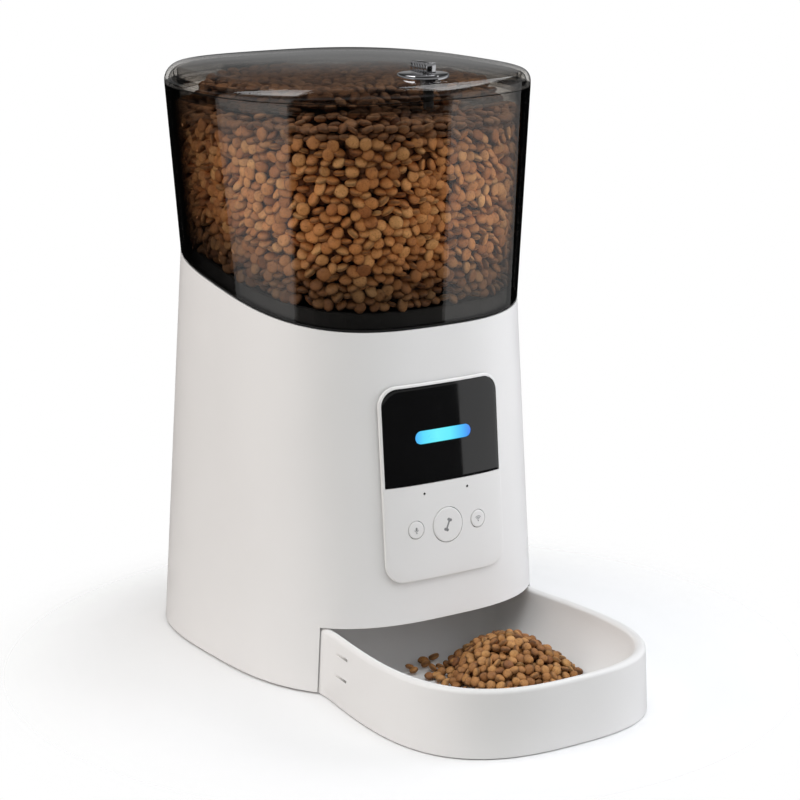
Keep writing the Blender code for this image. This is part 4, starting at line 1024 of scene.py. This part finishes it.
def bowl_kibble():
    """A low heap of food in the bowl, with a few strays round it."""
    rng = np.random.default_rng(5)
    centre_x, centre_y, reach_x, reach_y, height = 24 * MM, -137 * MM, 37 * MM, 41 * MM, 23 * MM
    lowest = BOWL_FLOOR + BITE_RADIUS * 0.6
    loose = 26

    def heap(x, y):
        share = np.hypot((x - centre_x) / reach_x, (y - centre_y) / reach_y)
        share = share * (1 + 0.07 * np.sin(3 * np.arctan2(y - centre_y, x - centre_x) + 0.6))
        return height * np.maximum(0.0, 1 - share ** 1.5)

    i, j, level = np.meshgrid(np.arange(-10, 11), np.arange(-11, 12), np.arange(3))
    x = (centre_x + (i + 0.5 * (j % 2) + rng.uniform(-0.35, 0.35, i.shape)) * BITE_PITCH).ravel()
    y = (centre_y + (j * ROW_STEP + rng.uniform(-0.35, 0.35, j.shape)) * BITE_PITCH).ravel()
    z = heap(x, y) - level.ravel() * 3.3 * MM + rng.uniform(-0.8, 0.8, len(x)) * MM
    keep = z > 0.4 * MM
    x, y, z = x[keep], y[keep], z[keep]
    slope = np.column_stack([heap(x - MM, y) - heap(x + MM, y), heap(x, y - MM) - heap(x, y + MM),
                             np.full(len(x), 2 * MM)])
    normals = tipped(unit_rows(slope), 0.42, rng)
    angle, share = rng.uniform(0, 2 * PI, loose), rng.uniform(0.90, 1.04, loose)
    strays = np.column_stack([centre_x + reach_x * share * np.cos(angle),
                              centre_y + reach_y * share * np.sin(angle), np.zeros(loose)])
    centres = np.concatenate([np.column_stack([x, y, z]), strays]) + (0.0, 0.0, lowest)
    normals = np.concatenate([normals, tipped(np.tile([0.0, 0.0, 1.0], (loose, 1)), 0.2, rng)])

    def hold(points):
        points[:, 2] = np.maximum(points[:, 2], lowest)
        return points

    centres = push_apart(centres, BITE_SPACING, 10, hold)
    kibble_batch("food_bowl", centres, normals, np.ones(len(centres)), BITE_RADIUS, BITE_FLAT,
                 14, 7, "bowl_body", KIBBLE_SMALL, rng)


# ---- studio ----
def camera():
    data = bpy.data.cameras.new("camera")
    data.lens = 110.98
    data.sensor_width = 36.0
    data.shift_x = -0.00625
    item = bpy.data.objects.new("camera", data)
    item.location = (-0.7798, -1.2405 + BODY_Y, 0.5128)
    item.rotation_euler = (radians(90 - 14.002), 0.0, radians(-33.504))
    COLLECTION.objects.link(item)
    bpy.context.scene.camera = item


# Lamps light the feeder and aren't mirrored in it: name, place, aim, width, height, radiance.
LAMPS = (
    ("lamp_top", (-0.1, -0.4, 1.7), (0.0, -0.05, 0.1), 1.4, 1.4, (2.02, 2.12, 2.22)),
    ("lamp_left", (-1.0, 0.15, 0.4), (0.0, 0.0, 0.15), 0.8, 0.7, (2.20, 1.97, 1.87)),
    ("lamp_right", (1.0, -0.55, 0.4), (0.0, 0.0, 0.15), 0.8, 0.7, (3.80, 3.84, 4.15)),
)
SKY_LIGHT = (0.494, 0.494, 0.484)
# What glossy surfaces mirror of the sky, from straight down at 0 to straight up at 1.
SKY_BANDS = ((0.0, 0.005), (0.485, 0.005), (0.510, 0.30), (0.535, 0.28), (0.552, 0.26), (0.570, 0.17),
             (0.595, 0.05), (0.65, 0.03), (0.82, 0.04), (0.92, 0.25), (1.0, 0.35))
FADE_START, FADE_END = 0.16, 0.28

# Reflector cards are mirrored in glossy surfaces and light nothing. The upright edges of the low ones
# draw the bright bands on the hopper and the grey part of the screen, and the high ones draw the
# highlights on the lid's edge: name, radiance, bottom corners, top corners, and their two heights.
LEFT_LOW, LEFT_HIGH = ((-0.621, -0.092), (-0.459, 0.579)), ((-0.670, -0.296), (-0.523, 0.316))
RIGHT_LOW, RIGHT_HIGH = ((0.359, -0.572), (0.657, 0.029)), ((0.352, -0.585), (0.660, 0.035))
CARDS = (
    ("card_left", 0.62, LEFT_LOW, LEFT_HIGH, 0.0, 0.36),
    ("card_left_high", 4.2, LEFT_HIGH, LEFT_HIGH, 0.60, 1.4),
    ("card_right", 0.72, RIGHT_LOW, RIGHT_HIGH, 0.0, 0.36),
    ("card_right_high", 4.2, RIGHT_HIGH, RIGHT_HIGH, 0.60, 1.4),
)


def lamp(name, place, aim, width, height, radiance):
    data = bpy.data.lights.new(name, "AREA")
    data.shape = "RECTANGLE"
    data.size, data.size_y = width, height
    strength = max(radiance)
    data.color = tuple(c / strength for c in radiance)
    data.energy = strength * PI * width * height
    item = bpy.data.objects.new(name, data)
    item.location = Vector(place) + Vector((0, BODY_Y, 0))
    item.rotation_euler = (Vector(place) - Vector(aim)).to_track_quat("Z", "Y").to_euler()
    item.visible_camera = False
    item.visible_glossy = False
    COLLECTION.objects.link(item)


def card(name, radiance, bottom, top, low, high):
    corners = [(x, y + BODY_Y, low) for x, y in bottom] + [(x, y + BODY_Y, high) for x, y in top[::-1]]
    item = mesh_object(name, corners, [(0, 1, 2, 3)])
    look = Look(name)
    look.tree.nodes.remove(look.shader)
    look.surface(look.node("Emission", {"Strength": radiance}).outputs["Emission"])
    item.data.materials.append(look.material)
    item.visible_camera = False
    item.visible_diffuse = False
    item.visible_shadow = False


def world_sky():
    """White to the camera, even light to diffuse surfaces, and a banded sky to glossy ones."""
    world = bpy.data.worlds.new("studio")
    bpy.context.scene.world = world
    world.use_nodes = True
    sky = Tree(world.node_tree)
    sky.tree.nodes.clear()
    where = sky.node("TexCoord").outputs["Generated"]
    split = sky.node("SeparateXYZ", {"Vector": where})
    height = sky.node("MapRange", {"Value": split.outputs["Z"], "From Min": -1.0})
    bands = sky.ramp(height.outputs["Result"], *SKY_BANDS)
    ray = sky.node("LightPath")
    shader = sky.node("Background", {"Color": (*SKY_LIGHT, 1.0)}).outputs["Background"]
    for kind, colour in (("Is Glossy Ray", bands), ("Is Camera Ray", (1.0, 1.0, 1.0, 1.0))):
        background = sky.node("Background", {"Color": colour}).outputs["Background"]
        shader = sky.mixed(ray.outputs[kind], shader, background)
    sky.node("OutputWorld", {"Surface": shader})


def floor():
    """Pale floor that fades into the white world away from the feeder."""
    item = mesh_object("floor", [(-6, -6, 0), (6, -6, 0), (6, 6, 0), (-6, 6, 0)], [(0, 1, 2, 3)])
    look = Look("floor_white")
    distance = look.node("VectorMath", {0: look.where, 1: (0.0, BODY_Y - 0.06, 0.0)},
                         operation="DISTANCE")
    fade = look.node("MapRange", {"Value": distance.outputs["Value"], "From Min": FADE_START,
                                            "From Max": FADE_END}, interpolation_type="SMOOTHSTEP")
    look.set(colour=(0.92, 0.92, 0.92), roughness=0.9, specular=0.0)
    clear = look.node("BsdfTransparent")
    look.surface(look.mixed(fade.outputs["Result"], look.shader.outputs["BSDF"], clear.outputs["BSDF"]))
    item.data.materials.append(look.material)
    item.visible_glossy = False


def studio():
    bpy.context.scene.view_settings.view_transform = "Standard"
    world_sky()
    for settings in LAMPS:
        lamp(*settings)
    for settings in CARDS:
        card(*settings)
    floor()


# ---- build ----
camera()
studio()
housing()
hopper()
lid()
control_panel()
buttons()
lock_knob()
bowl()
hopper_kibble()
bowl_kibble()
